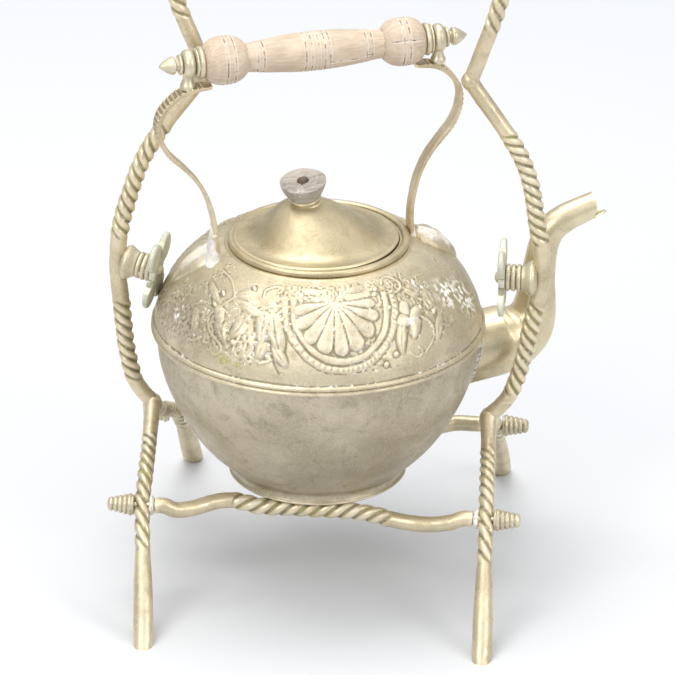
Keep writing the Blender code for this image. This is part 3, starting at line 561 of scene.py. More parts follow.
def build_arch():
    knots = frame_knots(ARCH_KNOTS, -1) + frame_knots([(0, 431.5)], 1) + frame_knots(ARCH_KNOTS[::-1], 1)
    path = smooth_path(knots, FINE)
    z = path[:, 2]
    mask = smoothstep(317, 323, z) * (1 - inside(-24, 24, 4, path[:, 0] - lean(431)) * (z > 400))
    radius = end_round(np.full(len(path), 4.2), run_of(path), 2.5)
    rope("twisted_arch", path, radius, mask, 22.5, ["top_arch"], seed=9)


def build_legs():
    for end, toward in ENDS.items():
        for label, side in SIDES.items():
            points = [(side * between(LEG_HALF[end], max(y, 0)) + between(LEG_SHIFT[end], max(y, 0)), toward * y, z)
                      for y, z in LEG_KNOTS[end]]
            path = smooth_path(points, FINE)
            z, y = path[:, 2], np.abs(path[:, 1])
            share = np.clip((40 - z) / 34, 0, 1)
            swell = 3.9 + 1.6 * share * (2 - share)
            swell = swell * (1 - 0.06 * smoothstep(3.5, 0, z))
            collar = 0.55 * np.exp(-((z - 88) / 7) ** 2)
            radius = end_round(swell + collar, run_of(path), 2.5)
            mask = inside(19, 75, 3, y)
            pitch = 15 + 13 * smoothstep(10, 75, y)
            rope("twisted_leg_%s_%s" % (end, label), path, radius, mask, pitch, ["leg_%s_%s" % (end, label)],
                 cuts=[((0, 0, 0), (0, 0, -1))], seed=11 + side + 4 * toward)


def build_stretchers():
    low = [(0, 42, 50.8)]
    left = [(18, 42, 50.8), (31, 41.5, 50.8), (45, 40.5, 53), (56, 44.5, 53.2), (66, 51, 52.4), (75, 55.4, 53)]
    right = [(18, 42.5, 50.6), (31, 45, 50.2), (45, 50, 49.6), (60, 54, 50), (73, 56, 52.6)]
    back = [(18, 42, 50.8), (31, 42, 50.8), (45, 46, 54), (56, 52, 57.4), (66, 56, 58.6)]
    halves = {"front": (left + [(81, 56.9, 55.9)], right + [(81, 56.9, 55.9)]),
              "rear": (back + [(75, 57, 58.2)], back + [(75, 57, 58.2)])}
    for end, toward in ENDS.items():
        shift, y_end, z_end = CROSS[end]
        tip = LEG_X[end] - 6.4
        inner = [(-x, y, z) for x, y, z in halves[end][0][::-1]] + low + list(halves[end][1])
        knots = [(-tip, abs(y_end), z_end)] + inner + [(tip, abs(y_end), z_end)]
        path = smooth_path([(x + shift, toward * y, z) for x, y, z in knots], FINE)
        mask = inside(-46, 36 if end == "front" else 44, 4, path[:, 0])
        radius = end_round(np.full(len(path), 4.3), run_of(path), 1.2)
        rope("twisted_stretcher_" + end, path, radius, mask, 24.0, ["stretcher_" + end], seed=20 + toward)
        for label, side in SIDES.items():
            stud = [[(0, -4), (1.9, -4)], [(1.9, -4), (1.9, 18)], [(1.9, 18), (0, 18)]]
            place = STAND @ Matrix.Translation((shift + side * tip, y_end, z_end)) @ Matrix.Rotation(side * pi / 2, 4, "Y")
            turned("stretcher_stud_%s_%s" % (end, label), stud, place, mat_turned, "stand", "aged_brass", cols=32,
                   spacing=1.0)


def build_nuts():
    for end in ENDS:
        shift, y_end, z_end = CROSS[end]
        for label, side in SIDES.items():
            spin = Matrix.Rotation(side * pi / 2, 4, "Y")
            wave = [(0, 14.6), (2.2, 14.5), (3.1, 14.0)]
            for ring in range(5):
                top, reach = 13.6 - ring * 2.55, 3.75 + ring * 0.56
                wave += [(reach - 0.35, top), (reach, top - 0.6), (reach + 0.1, top - 1.4), (reach - 0.4, top - 2.1)]
            wave += [(5.6, 0.7), (5.2, 0.2)]
            runs = [wave, [(5.2, 0.2), (0, 0.0)]]
            place = STAND @ Matrix.Translation((shift + side * (LEG_X[end] + 4.1), y_end, z_end)) @ spin
            turned("beehive_nut_%s_%s" % (end, label), runs, place, mat_turned, "stand", "aged_brass",
                   ["stretcher_nut_%s_%s" % (end, label)], cols=72, spacing=0.22,
                   ripple=dents(0.14, 3.5, 31 + side), rounds=5)
            collar = [[(0, 1.8), (4.3, 1.75), (5.5, 1.1), (5.4, 0.4), (4.6, -0.8)], [(4.6, -0.8), (0, -0.8)]]
            place = STAND @ Matrix.Translation((shift + side * (LEG_X[end] - 5.8), y_end, z_end)) @ spin
            turned("solder_collar_%s_%s" % (end, label), collar, place, mat_solder, "stand", "tin_solder",
                   ["stretcher_collar_%s_%s" % (end, label)], cols=64, spacing=0.3, ripple=dents(0.6, 2.6, 41 + side))


def build_brazing():
    """Lumps of braze where the uprights meet the arch, and where the legs meet the uprights."""
    for label, side in SIDES.items():
        elbow = Vector((side * 70.6 + float(lean(288.5)), 0, 288.5))
        fork = Vector((side * 91.9 + float(lean(91)), 0, 88.6))
        blob("brazed_elbow_" + label, elbow, (4.9, 4.9, 5.6), 201 + side)
        blob("brazed_fork_" + label, fork, (5.4, 6.6, 6.4), 203 + side)


def blob(name, spot, size, seed):
    """A soft uneven lump of braze on the frame."""
    theta = np.linspace(0, 2 * pi, 56, endpoint=False)
    rise = np.linspace(-0.995, 0.995, 34)
    ring = np.sqrt(1 - rise ** 2)
    grid = np.stack([np.outer(ring, np.cos(theta)) * size[0], np.outer(ring, np.sin(theta)) * size[1],
                     np.broadcast_to((rise * size[2])[:, None], (34, 56))], axis=-1)
    grid *= (1 + 0.05 * noise(grid + seed, 4.5, seed))[..., None]
    verts, faces = skin(grid + np.array(spot))
    piece(name, verts, faces, STAND, mat_rod, "stand", rounds=6)


def lobed_outline(samples):
    """Outline of the lobed plate: a disc and four round lobes, seen from its middle."""
    lobes = [(7.8, 12.2, 7.1), (-7.8, 12.2, 7.1), (8.8, -11.0, 7.6), (-8.8, -11.0, 7.6)]
    points = []
    for angle in (np.arange(samples) + 0.5) * 2 * pi / samples:
        reach = 8.2
        for x, y, radius in lobes:
            along = x * cos(angle) + y * sin(angle)
            across = x * sin(angle) - y * cos(angle)
            if abs(across) < radius and along > 0:
                reach = max(reach, along + math.sqrt(radius ** 2 - across ** 2))
        points.append((reach * cos(angle), reach * sin(angle)))
    return np.array(points)


def boss_place(side):
    inner = 115.0 - 4.65
    if side > 0:
        return STAND @ Matrix.Translation((inner - 0.9, 0, BOSS_Z)) @ Matrix.Rotation(-pi / 2, 4, "Y")
    bent = Euler((0, pi / 2 + BENT_TILT, BENT_YAW)).to_matrix().to_4x4()
    return STAND @ Matrix.Translation((-(inner - 1.1), 0, BOSS_Z)) @ bent


def build_bosses():
    length, reach = 14.0, 7.3
    for label, side in SIDES.items():
        place = boss_place(side)
        rings = [(reach - 1.3, length), (reach - 0.5, length - 0.2)]
        for ring in range(3):
            top = length - 0.7 - ring * 2.9
            rings += [(reach, top), (reach + 0.05, top - 1.3), (reach - 0.9, top - 1.9), (reach - 0.75, top - 2.3)]
        flare = [(7.0, 5.2), (7.6, 3.6), (8.9, 1.6), (9.6, 0.0), (9.0, -1.6), (6.8, -3.0)]
        runs = [[(0, length), (reach - 1.3, length)], rings, [(reach - 0.75, 5.4), (7.0, 5.2)], flare,
                [(6.8, -3.0), (0, -3.0)]]
        turned("ringed_boss_" + label, runs, place, mat_turned, "stand", "aged_brass", ["boss_" + label], cols=88,
               spacing=0.3, ripple=dents(0.22, 5, 51 + side))
        build_plate(label, side, place)
        head = length + 3.4 + 0.4
        screw = [[(0, head + 2.2), (1.2, head + 2.1), (2.6, head + 1.4), (3.5, head + 0.1)], [(3.5, head + 0.1), (0, head - 1)]]
        turned("round_screw_" + label, screw, place, mat_turned, "stand", "aged_brass", ["plate_screw_" + label],
               cols=48, spacing=0.3, ripple=dents(0.1, 2, 61))


def build_plate(label, side, boss):
    """The lobed plate: its rim is rounded, its faces are a little uneven."""
    place = boss @ Matrix.Translation((0, 0, 14.0 + 0.3 + 1.7)) @ Matrix.Rotation(side * pi / 2, 4, "Z")
    outline = lobed_outline(260)
    length = np.concatenate([[0], np.cumsum(np.linalg.norm(np.diff(outline, axis=0), axis=1))])
    rim = [(0.02, 1.7), (0.4, 1.75), (0.75, 1.72), (0.93, 1.66), (0.975, 1.3), (1.0, 0.7), (1.0, -0.7), (0.975, -1.3),
           (0.93, -1.66), (0.75, -1.72), (0.4, -1.75), (0.02, -1.7)]
    rim = smooth_path(rim, 0.05)
    grid = np.concatenate([outline[None] * rim[:, 0][:, None, None],
                           np.broadcast_to(rim[:, 1][:, None, None], (len(rim), len(outline), 1))], axis=-1)
    grid[..., 2] += 0.12 * noise(grid, 5, 71 + side) * np.sign(grid[..., 2])
    grid[..., :2] *= (1 + 0.012 * noise(grid, 4, 73 + side))[..., None]
    verts, faces = skin(grid)
    assert len(length) == len(outline)
    piece("lobed_plate_worn_" + label, verts, faces, place, mat_plate, "stand",
          ["lobed_plate_" + label], rounds=8)


# ---------------------------------------------------------------- the kettle's body

SHOULDER = [(50.2, 190.8), (58, 187.8), (66.5, 182.8), (74.5, 175.8), (80.8, 167.5), (85, 159.5), (87.6, 152.5),
            (88.8, 146.0)]
LOWER = [(87.6, 143.0), (87.3, 133), (85.8, 122), (82.2, 110), (77, 98), (70.5, 86), (63, 76), (55.5, 68.4),
         (50.2, 63.8), (47.5, 62.6)]
FAN_AZIMUTH, FAN_DEPTH = -77.4, 15.9   # degrees round the stand, and millimetres down the shoulder from the neck


STROKE_WIDTH, STROKE_RISE = 0.85, 0.46  # how worn the strokes are
WHITE_PATCHES = [(-46, 33, 2.6), (-33.6, 16, 3.2), (-20, 30, 9.0), (-8, 40, 11.0), (-150, 44, 5.0)]
GREEN_PATCHES = [(-121, 54.5, 5.0), (-114, 56, 3.0), (-98, 56.5, 1.8)]


def shoulder_curve():
    path = smooth_path(SHOULDER, 0.5)
    return path, run_of(path)


SHOULDER_PATH, SHOULDER_RUN = shoulder_curve()


def shoulder_radius(depth):
    return np.interp(depth, SHOULDER_RUN, SHOULDER_PATH[:, 0])


def stroke_height(x, y, points, width, height):
    """A round-backed raised line through the points: x and y are flat coordinates in millimetres."""
    best = np.full(x.shape, 1e9)
    if len(points) > 2:
        points = smooth_path(points, 2.4)
    for (ax, ay), (bx, by) in zip(points, points[1:]):
        dx, dy = bx - ax, by - ay
        share = np.clip(((x - ax) * dx + (y - ay) * dy) / (dx * dx + dy * dy + 1e-9), 0, 1)
        best = np.minimum(best, np.hypot(x - ax - share * dx, y - ay - share * dy))
    near = np.clip(1 - (best / (STROKE_WIDTH * width)) ** 2, 0, 1)
    return STROKE_RISE * height * near ** 1.3


def pillow_height(x, y, at, size, turn, height, veins=0):
    """A leaf or petal: an oval swelling, with a groove down its middle and veins if asked."""
    c, s = cos(radians(turn)), sin(radians(turn))
    u = ((x - at[0]) * c + (y - at[1]) * s) / size[0]
    v = (-(x - at[0]) * s + (y - at[1]) * c) / size[1]
    taper = 1 - 0.35 * u
    dome = np.clip(1 - u ** 2 - (v / taper) ** 2, 0, 1) ** 0.85
    if veins:
        dome = dome * (1 - 0.35 * np.exp(-(v / 0.12) ** 2))
        dome = dome * (1 - 0.14 * (0.5 + 0.5 * np.cos(veins * pi * (u + 0.7 * np.abs(v)))))
    return 0.78 * height * dome


def fan_height(x, y):
    """The scallop fan: nine swelling lobes that spread downwards, in a raised rim with a beaded edge."""
    height = np.zeros_like(x)
    reach = np.hypot(x, y)
    angle = np.degrees(np.arctan2(y, x))
    angle = np.where(angle < -90, angle + 360, angle)
    for lobe in range(9):
        at = 87 + (lobe - 4) * 19.8
        length = 30.5 - 0.5 * (lobe - 4) ** 2 if lobe <= 4 else 30.5 - 0.42 * (lobe - 4) ** 2
        across = (angle - at) / 9.6
        round_end = np.clip((reach - (length - 5.2)) / 5.2, 0, None)
        dome = np.sqrt(np.clip(1 - across ** 2 - round_end ** 2, 0, 1))
        height = np.maximum(height, 1.75 * np.clip(reach / length, 0, 1) ** 0.7 * dome ** 0.9)
    bx, by = x - 3, y - 2
    ring, turn = np.hypot(bx, by), np.degrees(np.arctan2(by, bx))
    turn = np.where(turn < -90, turn + 360, turn)
    rim = 27.2 + 5.8 * np.clip(np.sin(np.radians(turn)), 0, 1) ** 1.1
    span = inside(-4, 184, 8, turn)
    band = np.sqrt(np.clip(1 - ((ring - rim + 1.6) / 1.9) ** 2, 0, 1))
    groove = np.exp(-((ring - rim - 0.7) / 0.55) ** 2)
    beads = np.clip(1 - ((ring - rim - 3.0) / 1.6) ** 2, 0, 1) * (0.5 + 0.5 * np.cos(np.radians(turn) * rim * 2 * pi / 2.6))
    height = np.maximum(height, span * 0.8 * band)
    height = height - 0.5 * span * groove
    return height + span * (0.45 * beads + 0.35 * inside(rim + 1.4, rim + 4.6, 0.8, ring))


def motif_height(azimuth, depth):
    """One panel of the ornament: the fan, the acanthus leaves on its left and the scrolls on both sides."""
    radius = shoulder_radius(depth)
    x = np.radians(azimuth - FAN_AZIMUTH) * radius
    y = depth - FAN_DEPTH
    flow = np.stack([x, y, 0 * x], axis=-1)
    x = x + 0.55 * noise(flow, 7, 87)
    y = y + 0.55 * noise(flow, 7, 88)

    def flat(points):
        return [(radians(a - FAN_AZIMUTH) * float(shoulder_radius(d)), d - FAN_DEPTH) for a, d in points]

    height = fan_height(x, y)
    leaves = [((-101.6, 36), (12.5, 5.6), 82, 2.0, 3), ((-107.6, 33), (10.5, 4.6), 100, 1.7, 3),
              ((-99.4, 47), (7.5, 3.8), 55, 1.4, 2), ((-106.5, 46), (7.0, 3.4), 118, 1.2, 2),
              ((-114.0, 25), (9.0, 3.2), 15, 1.0, 2), ((-118.0, 37), (8.5, 3.8), 130, 1.1, 2),
              ((-124.5, 41), (7.0, 3.4), 60, 1.0, 2), ((-128.5, 33), (5.6, 4.2), 90, 1.1, 0),
              ((-121.5, 17), (7.5, 2.8), 160, 0.8, 2), ((-136.5, 24), (7.5, 3.2), 40, 0.9, 2),
              ((-139.0, 42), (8.0, 3.2), 100, 0.9, 2), ((-52.2, 42), (9.5, 3.6), 94, 1.3, 2),
              ((-48.6, 33), (6.0, 3.8), 30, 1.4, 0), ((-44.6, 38), (6.2, 4.0), 100, 1.5, 0),
              ((-42.6, 31.5), (5.6, 3.6), 150, 1.3, 0), ((-46.0, 27), (5.2, 3.2), 60, 1.1, 0),
              ((-36.5, 19), (7.0, 3.4), 35, 1.2, 2), ((-31.0, 27), (7.0, 3.2), 60, 1.1, 2),
              ((-34.0, 44), (7.5, 3.4), 110, 1.1, 2), ((-66.0, 8.5), (6.5, 2.4), 175, 0.8, 2),
              ((-88.0, 8.5), (6.5, 2.4), 5, 0.8, 2)]
    for at, size, turn, rise, veins in leaves:
        spot = flat([at])[0]
        height = np.maximum(height, pillow_height(x, y, spot, size, turn, rise, veins))
    strokes = [(1.0, 0.9, [(-97.7, 18.5), (-102.5, 22.8), (-105.6, 29.5), (-105.9, 38)]),
               (0.9, 0.8, [(-144.9, 10.1), (-136, 11.5), (-130.7, 14.8), (-126.3, 20.3), (-128.8, 26.2), (-130, 30.5)]),
               (0.9, 0.8, [(-123.7, 31.5), (-128.6, 29.2), (-133, 35.1), (-131.6, 40.2), (-127.8, 44.4), (-124, 47.1),
                           (-122.3, 50.5), (-124.6, 54.4), (-127, 52)]),
               (0.8, 0.7, [(-115.9, 27.9), (-119.2, 25.3), (-123.8, 24.1), (-126.3, 20.3)]),
               (0.9, 0.8, [(-99.7, 19.2), (-107.6, 20.5), (-113.6, 26.1), (-115.9, 33), (-116.5, 42), (-118, 50)]),
               (0.9, 0.9, [(-112, 16), (-112.6, 11.3), (-109.1, 8), (-105.5, 7.6), (-103.6, 10), (-105.6, 12)]),
               (0.8, 0.7, [(-92, 10.5), (-87.6, 9.4), (-82.9, 7.6), (-78.2, 8.6), (-77.8, 13)]),
               (1.0, 1.0, [(-49.6, 8.5), (-47.5, 5.6), (-44.1, 4.6), (-40.6, 7.6), (-40, 12.8), (-44.4, 16), (-50.3, 15.5),
                           (-54.3, 18)]),
               (0.8, 0.8, [(-46.5, 9.5), (-44.4, 8.6), (-43.4, 10.6), (-44.8, 12.2)]),
               (0.8, 0.7, [(-44.6, 21.4), (-41.2, 23.7), (-38, 22), (-35.6, 25)]),
               (0.9, 0.8, [(-40, 33), (-37.4, 38.1), (-36.8, 43.6), (-39.6, 49.6), (-43.6, 52.6)]),
               (0.8, 0.7, [(-50, 50), (-47.6, 53.6), (-44.6, 51.6), (-46, 48.6)]),
               (0.9, 0.8, [(-97, 52.5), (-101, 49), (-106, 52.5), (-110.5, 49.5), (-112.5, 53)]),
               (0.8, 0.7, [(-139, 30), (-143.5, 34), (-141.5, 40), (-136, 39), (-136, 34.5)]),
               (0.8, 0.7, [(-133.5, 48), (-137.6, 52), (-142.5, 49)]),
               (0.8, 0.7, [(-28, 36), (-31.6, 40), (-28.6, 45), (-24.6, 42)]),
               (0.8, 0.7, [(-25.5, 20), (-29.5, 16), (-27, 12), (-22.5, 14)])]
    for width, rise, points in strokes:
        height = np.maximum(height, stroke_height(x, y, flat(points), width, rise))
    dots = [(-91.5, 13.5), (-56.5, 13.6), (-54.6, 10.5), (-53, 24), (-118, 44.5), (-100.5, 27.5), (-50.6, 27.5), (-119, 12),
            (-97.5, 33), (-56, 49.5), (-108.6, 25), (-133, 21), (-38.6, 29), (-33, 34.6), (-133, 29), (-60, 53.6)]
    for azim, deep in dots:
        sx, sy = flat([(azim, deep)])[0]
        height = np.maximum(height, 0.9 * np.sqrt(np.clip(1 - ((x - sx) ** 2 + (y - sy) ** 2) / 1.5 ** 2, 0, 1)))
    crack = stroke_height(x, y, flat([(-103.4, 40), (-102.4, 46), (-101.5, 50.8), (-99.2, 57)]), 1.1, 1.0)
    crack = np.maximum(crack, stroke_height(x, y, flat([(-107.5, 50.5), (-103.5, 50), (-101.8, 51)]), 0.7, 0.6))
    return height - crack


def ornament(azimuth, depth):
    """The raised ornament round the shoulder: the same panel on the front and on the back."""
    total = np.zeros_like(depth)
    for turn in (0, 180):
        local = (azimuth - turn - FAN_AZIMUTH + 180) % 360 - 180 + FAN_AZIMUTH
        total = total + motif_height(local, depth)
    field = inside(5, 56, 2, depth)
    ground = np.stack([np.cos(np.radians(azimuth)) * 80, np.sin(np.radians(azimuth)) * 80, depth], axis=-1)
    stipple = np.clip(noise(ground, 1.5, 81), -0.2, 1) * smoothstep(-0.25, 0.25, noise(ground, 16, 82))
    total = total + 0.42 * stipple * np.where(total < 0.15, 1, 0.25)
    worn = 0.82 + 0.25 * noise(ground, 20, 83)
    return total * field * worn


def build_shoulder():
    cols = 940
    outer = SHOULDER_PATH
    bead = smooth_path([(88.8, 146.0), (89.3, 145.6), (90.1, 145.0), (90.35, 144.2), (90.0, 143.4), (89.3, 142.9)], 0.22)
    second = smooth_path([(89.3, 142.9), (89.9, 142.5), (90.5, 141.8), (90.55, 141.1), (90.1, 140.5), (89.3, 140.2)], 0.22)
    under = straight([(89.2, 140.2), (88.15, 140.2)], 0.5)
    inner = smooth_path([(88.15, 140.3), (88.1, 143.0), (87.5, 146.0), (86.4, 151.7), (83.9, 158.7), (79.7, 166.7),
                         (73.5, 175.0), (65.6, 181.8), (57.2, 186.8), (50.0, 189.3), (47.0, 190.3)], 2.0)
    top = smooth_path([(46.6, 190.9), (47.2, 191.5), (48.6, 191.3), (50.1, 190.85)], 0.5)
    profile = np.vstack([outer[1:-1], bead, second[1:], under, inner[1:], top[:-1]])
    angle = np.linspace(0, 2 * pi, cols, endpoint=False)
    grid = ring_grid(profile, cols)
    count = len(outer) - 2
    tangent = np.gradient(outer, axis=0)[1:-1]
    tangent /= np.linalg.norm(tangent, axis=1, keepdims=True)
    normal = np.stack([-tangent[:, 1], tangent[:, 0]], axis=1)
    azimuth = np.broadcast_to(np.degrees(angle + KETTLE_TURN)[None, :], (count, cols))
    depth = np.broadcast_to(SHOULDER_RUN[1:-1][:, None], (count, cols))
    raised = ornament(azimuth, depth)
    rise = raised + 0.12 * noise(grid[:count], 24, 84)
    stain = np.zeros(grid.shape[:2])
    speckle = noise(grid[:count], 1.7, 89)
    stain[:count] = np.clip(0.5 * smoothstep(0.2, 0.6, raised) * (0.45 + 0.8 * speckle), 0, 0.4)
    for azim, deep, size in WHITE_PATCHES:
        apart = np.hypot(np.radians((azimuth - azim + 180) % 360 - 180) * 80, depth - deep)
        stain[:count] += 1.1 * np.exp(-(apart / size) ** 2) * smoothstep(-0.25, 0.35, speckle)
    for azim, deep, size in GREEN_PATCHES:
        apart = np.hypot(np.radians((azimuth - azim + 180) % 360 - 180) * 86, 1.8 * (depth - deep))
        stain[:count] -= 1.2 * np.exp(-(apart / size) ** 2)
    grid[:count, :, 0] += rise * normal[:, 0][:, None] * np.cos(angle)
    grid[:count, :, 1] += rise * normal[:, 0][:, None] * np.sin(angle)
    grid[:count, :, 2] += rise * normal[:, 1][:, None]
    rim = slice(count, count + len(bead) + len(second) - 1)
    grid[rim] += (0.10 * noise(grid[rim], 7, 85) + 0.06 * noise(grid[rim], 1.8, 86))[..., None] * np.stack(
        [np.cos(angle), np.sin(angle), 0 * angle], axis=-1)
    verts, faces = skin(grid, closed_rows=True)
    piece("embossed_shoulder", verts, faces, KETTLE, mat_body, "kettle", ["upper_body"], rounds=14, angle=70,
          stain=stain)


def build_lower_body():
    inner = [(r - 1.1, z + 0.6 * (z < 70)) for r, z in LOWER][::-1]
    inner[0] = (46.6, 63.9)
    runs = [[(0, 63.8), (46.6, 63.9)], inner, [(86.5, 143.0), (87.6, 143.0)], LOWER,
            [(47.5, 62.6), (44, 62.5), (30, 62.9), (0, 62.6)]]
    turned("smooth_lower_body", runs, KETTLE, mat_lower_painted_shade, "kettle", "aged_brass", ["lower_body"], cols=300, spacing=0.9,
           ripple=dents(0.28, 26, 91), rounds=10)
    foot = [[(44.2, 62.6), (44.6, 60.8), (45.2, 55.5)], [(45.2, 55.5), (47.6, 55.5)],
            [(47.6, 55.5), (48.2, 55.9), (48.2, 56.5), (47.2, 57.6), (46.9, 59.4), (47.3, 61.0), (48.6, 62.6), (50.4, 63.9)],
            [(50.4, 63.9), (44.2, 62.6)]]
    turned("turned_foot_ring", foot, KETTLE, mat_lower_painted_shade, "kettle", "aged_brass", ["foot_ring"], cols=260, spacing=0.4,
           ripple=dents(0.15, 9, 92))
    neck = [[(43.6, 187.2), (43.6, 192.4), (44.3, 192.9), (45.2, 192.9)],
            [(45.2, 192.9), (45.4, 193.8), (46.6, 194.6), (48.2, 194.5), (49.2, 193.6), (49.3, 192.0), (48.6, 191.3)],
            [(48.6, 191.3), (50.2, 191.0), (51.2, 190.4)], [(51.2, 190.4), (47.0, 189.0), (43.6, 187.2)]]
    turned("neck_bead", neck, KETTLE, mat_lid, "kettle", "aged_brass", ["neck_ring"], cols=260, spacing=0.3,
           ripple=dents(0.12, 8, 93))


# ---------------------------------------------------------------- spout

def build_spout():
    """The spout is a sheet tube; its mouth is cut back at the sides and keeps a tongue below."""
    stations = np.array([(79, 118.2, 19), (88, 119.9, 19), (100, 122.2, 18.9), (108.5, 124.6, 17.9), (115.6, 129.6, 15.6),
                         (119.6, 137, 12.8), (121.2, 146.5, 10.9), (122, 157, 9.5), (123.4, 168, 8.6), (125.4, 178, 8.1),
                         (129.4, 186.2, 8.0), (136.2, 191.6, 7.7), (144.5, 195.2, 7.3), (152.5, 198.3, 7.0),
                         (159, 200.8, 6.8)])
    dense = smooth_path(stations, 0.25)
    centre = np.stack([dense[:, 0], 0 * dense[:, 0], dense[:, 1]], axis=1)
    run = run_of(centre)
    cols, rows = 120, 190
    theta = np.linspace(0, 2 * pi, cols, endpoint=False)
    top = np.cos(theta)
    mouth = -6.0 + 1.0 * top - 3.6 * np.exp(-((theta - radians(128)) / 0.42) ** 2)
    mouth -= 3.6 * np.exp(-((theta - radians(232)) / 0.42) ** 2)
    mouth += 5.4 * np.exp(-((theta - pi) / 0.42) ** 2)
    length = run[-1] + mouth
    share = np.linspace(0, 1, rows)[:, None]
    at = share * length[None, :]
    tangent, _, _ = path_frames(centre)
    up = np.stack([-tangent[:, 2], 0 * tangent[:, 0], tangent[:, 0]], axis=1)

    def shell(shrink):
        reach = np.interp(at, run, dense[:, 2]) - shrink
        spot = np.stack([np.interp(at, run, centre[:, k]) for k in range(3)], axis=-1)
        raised = np.stack([np.interp(at, run, up[:, k]) for k in range(3)], axis=-1)
        raised /= np.linalg.norm(raised, axis=-1, keepdims=True)
        across = np.array([0.0, 1.0, 0.0])
        return spot + reach[..., None] * (np.cos(theta)[None, :, None] * raised + np.sin(theta)[None, :, None] * across)

    outer = shell(0.0)
    outward = outer - shell(2.0)
    outward /= np.linalg.norm(outward, axis=-1, keepdims=True)
    outer = outer + outward * (0.16 * noise(outer, 16, 101) + 0.03 * noise(outer, 4, 102))[..., None]
    lip = 0.5 * (outer[-1] + shell(1.0)[-1]) + 0.25 * (outer[-1] - outer[-2])
    grid = np.concatenate([outer, lip[None], shell(1.1)[::-1]])
    verts, faces = skin(grid, closed_rows=True)
    piece("sheet_spout", verts, faces, KETTLE, mat_spout, "kettle", ["spout"], rounds=10)
    place = KETTLE @ Matrix.Translation((78.2, 0, 118.0)) @ Matrix.Rotation(pi / 2 - radians(11), 4, "Y")
    cols, lift = 160, []
    for angle in np.linspace(0, 2 * pi, cols, endpoint=False):
        lift.append(solder_line(angle))
    lift = np.array(lift)
    section = np.array([(18.6, -2.6), (21.8, -2.2), (21.6, 0.2), (20.6, 1.7), (19.6, 2.6), (18.7, 2.9)])
    section = smooth_path(section, 0.5)
    angle = np.linspace(0, 2 * pi, cols, endpoint=False)
    grid = np.stack([section[:, 0][:, None] * np.cos(angle), section[:, 0][:, None] * np.sin(angle),
                     section[:, 1][:, None] + lift[None, :]], axis=-1)
    grid += (0.3 * noise(grid, 3.2, 103))[..., None] * np.array([1, 1, 1])
    verts, faces = skin(grid, closed_rows=True)
    piece("solder_fillet", verts, faces, place, mat_solder, "kettle", ["spout_flange"], rounds=8)


def solder_line(angle):
    """How far along the spout's root drum the body's surface is met, at an angle round the drum."""
    tilt = Matrix.Rotation(pi / 2 - radians(11), 4, "Y")
    origin = Vector((78.2, 0, 118.0))
    wall = LOWER[::-1] + SHOULDER[::-1]
    heights, radii = [p[1] for p in wall], [p[0] for p in wall]
    for step in np.arange(-12, 20, 0.25):
        spot = origin + tilt @ Vector((19.2 * cos(angle), 19.2 * sin(angle), step))
        if math.hypot(spot.x, spot.y) > np.interp(spot.z, heights, radii):
            return step
    return 0.0


# ---------------------------------------------------------------- handle

def strap_knots(side):
    foot_z, bulge = (187.9, 1.0) if side < 0 else (190.4, 0.85)
    foot_r = 54.6
    knots = [(foot_r, foot_z), (54.7, 204), (56.2, 214), (59.5, 225), (65, 235), (72.5, 244), (79.8, 252), (84.3, 260),
             (86, 268), (84.6, 275), (80, 281.1), (74, 285.7), (68, 287.9), (62, 288.8), (56.5, 289.1)]
    return [(side * (foot_r + (r - foot_r) * bulge) + HANDLE_SHIFT, 0, z) for r, z in knots]


def build_straps():
    """Flat straps with rounded edges; the outer face is ribbed across where it bends out under the grip."""
    for label, side in SIDES.items():
        path = smooth_path(strap_knots(side), 0.45)
        run = run_of(path)
        tangent = np.gradient(path, axis=0)
        tangent /= np.linalg.norm(tangent, axis=1, keepdims=True)
        across = np.array([0.0, 1.0, 0.0])
        out = np.cross(tangent, across) * -side
        theta = np.linspace(0, 2 * pi, 64, endpoint=False)
        half = 4.5 - 0.9 * smoothstep(run[-1] - 5, run[-1], run)
        thick = 1.15 + 0.25 * smoothstep(214, 196, path[:, 2])
        wide = np.sign(np.cos(theta)) * np.abs(np.cos(theta)) ** 0.42
        deep = np.sign(np.sin(theta)) * np.abs(np.sin(theta)) ** 0.62
        grid = (path[:, None, :] + (half[:, None] * wide)[..., None] * across
                + (thick[:, None] * deep)[..., None] * out[:, None, :])
        ribbed = smoothstep(238, 252, path[:, 2]) * (1 - smoothstep(run[-1] - 6, run[-1] - 2, run))
        rib = (0.5 + 0.5 * np.cos(2 * pi * run / 2.7)) ** 4
        rim = 0.6 * inside(0.80, 1.0, 0.12, np.abs(wide))[None, :] * (0.8 + 0.2 * np.cos(2 * pi * run / 1.5))[:, None]
        raise_up = 0.5 * (rib * ribbed)[:, None] * np.clip(deep, 0, 1) ** 0.5 + rim * (deep > 0.1) * ribbed[:, None]
        grid = grid + raise_up[..., None] * out[:, None, :]
        grid = grid + (0.08 * noise(grid, 4, 111 + side))[..., None] * out[:, None, :]
        verts, faces = skin(grid)
        piece("ribbed_strap_" + label, verts, faces, HANDLE, mat_strap, "kettle", ["handle_strap_" + label],
              rounds=8)
        build_strap_solder(label, side)


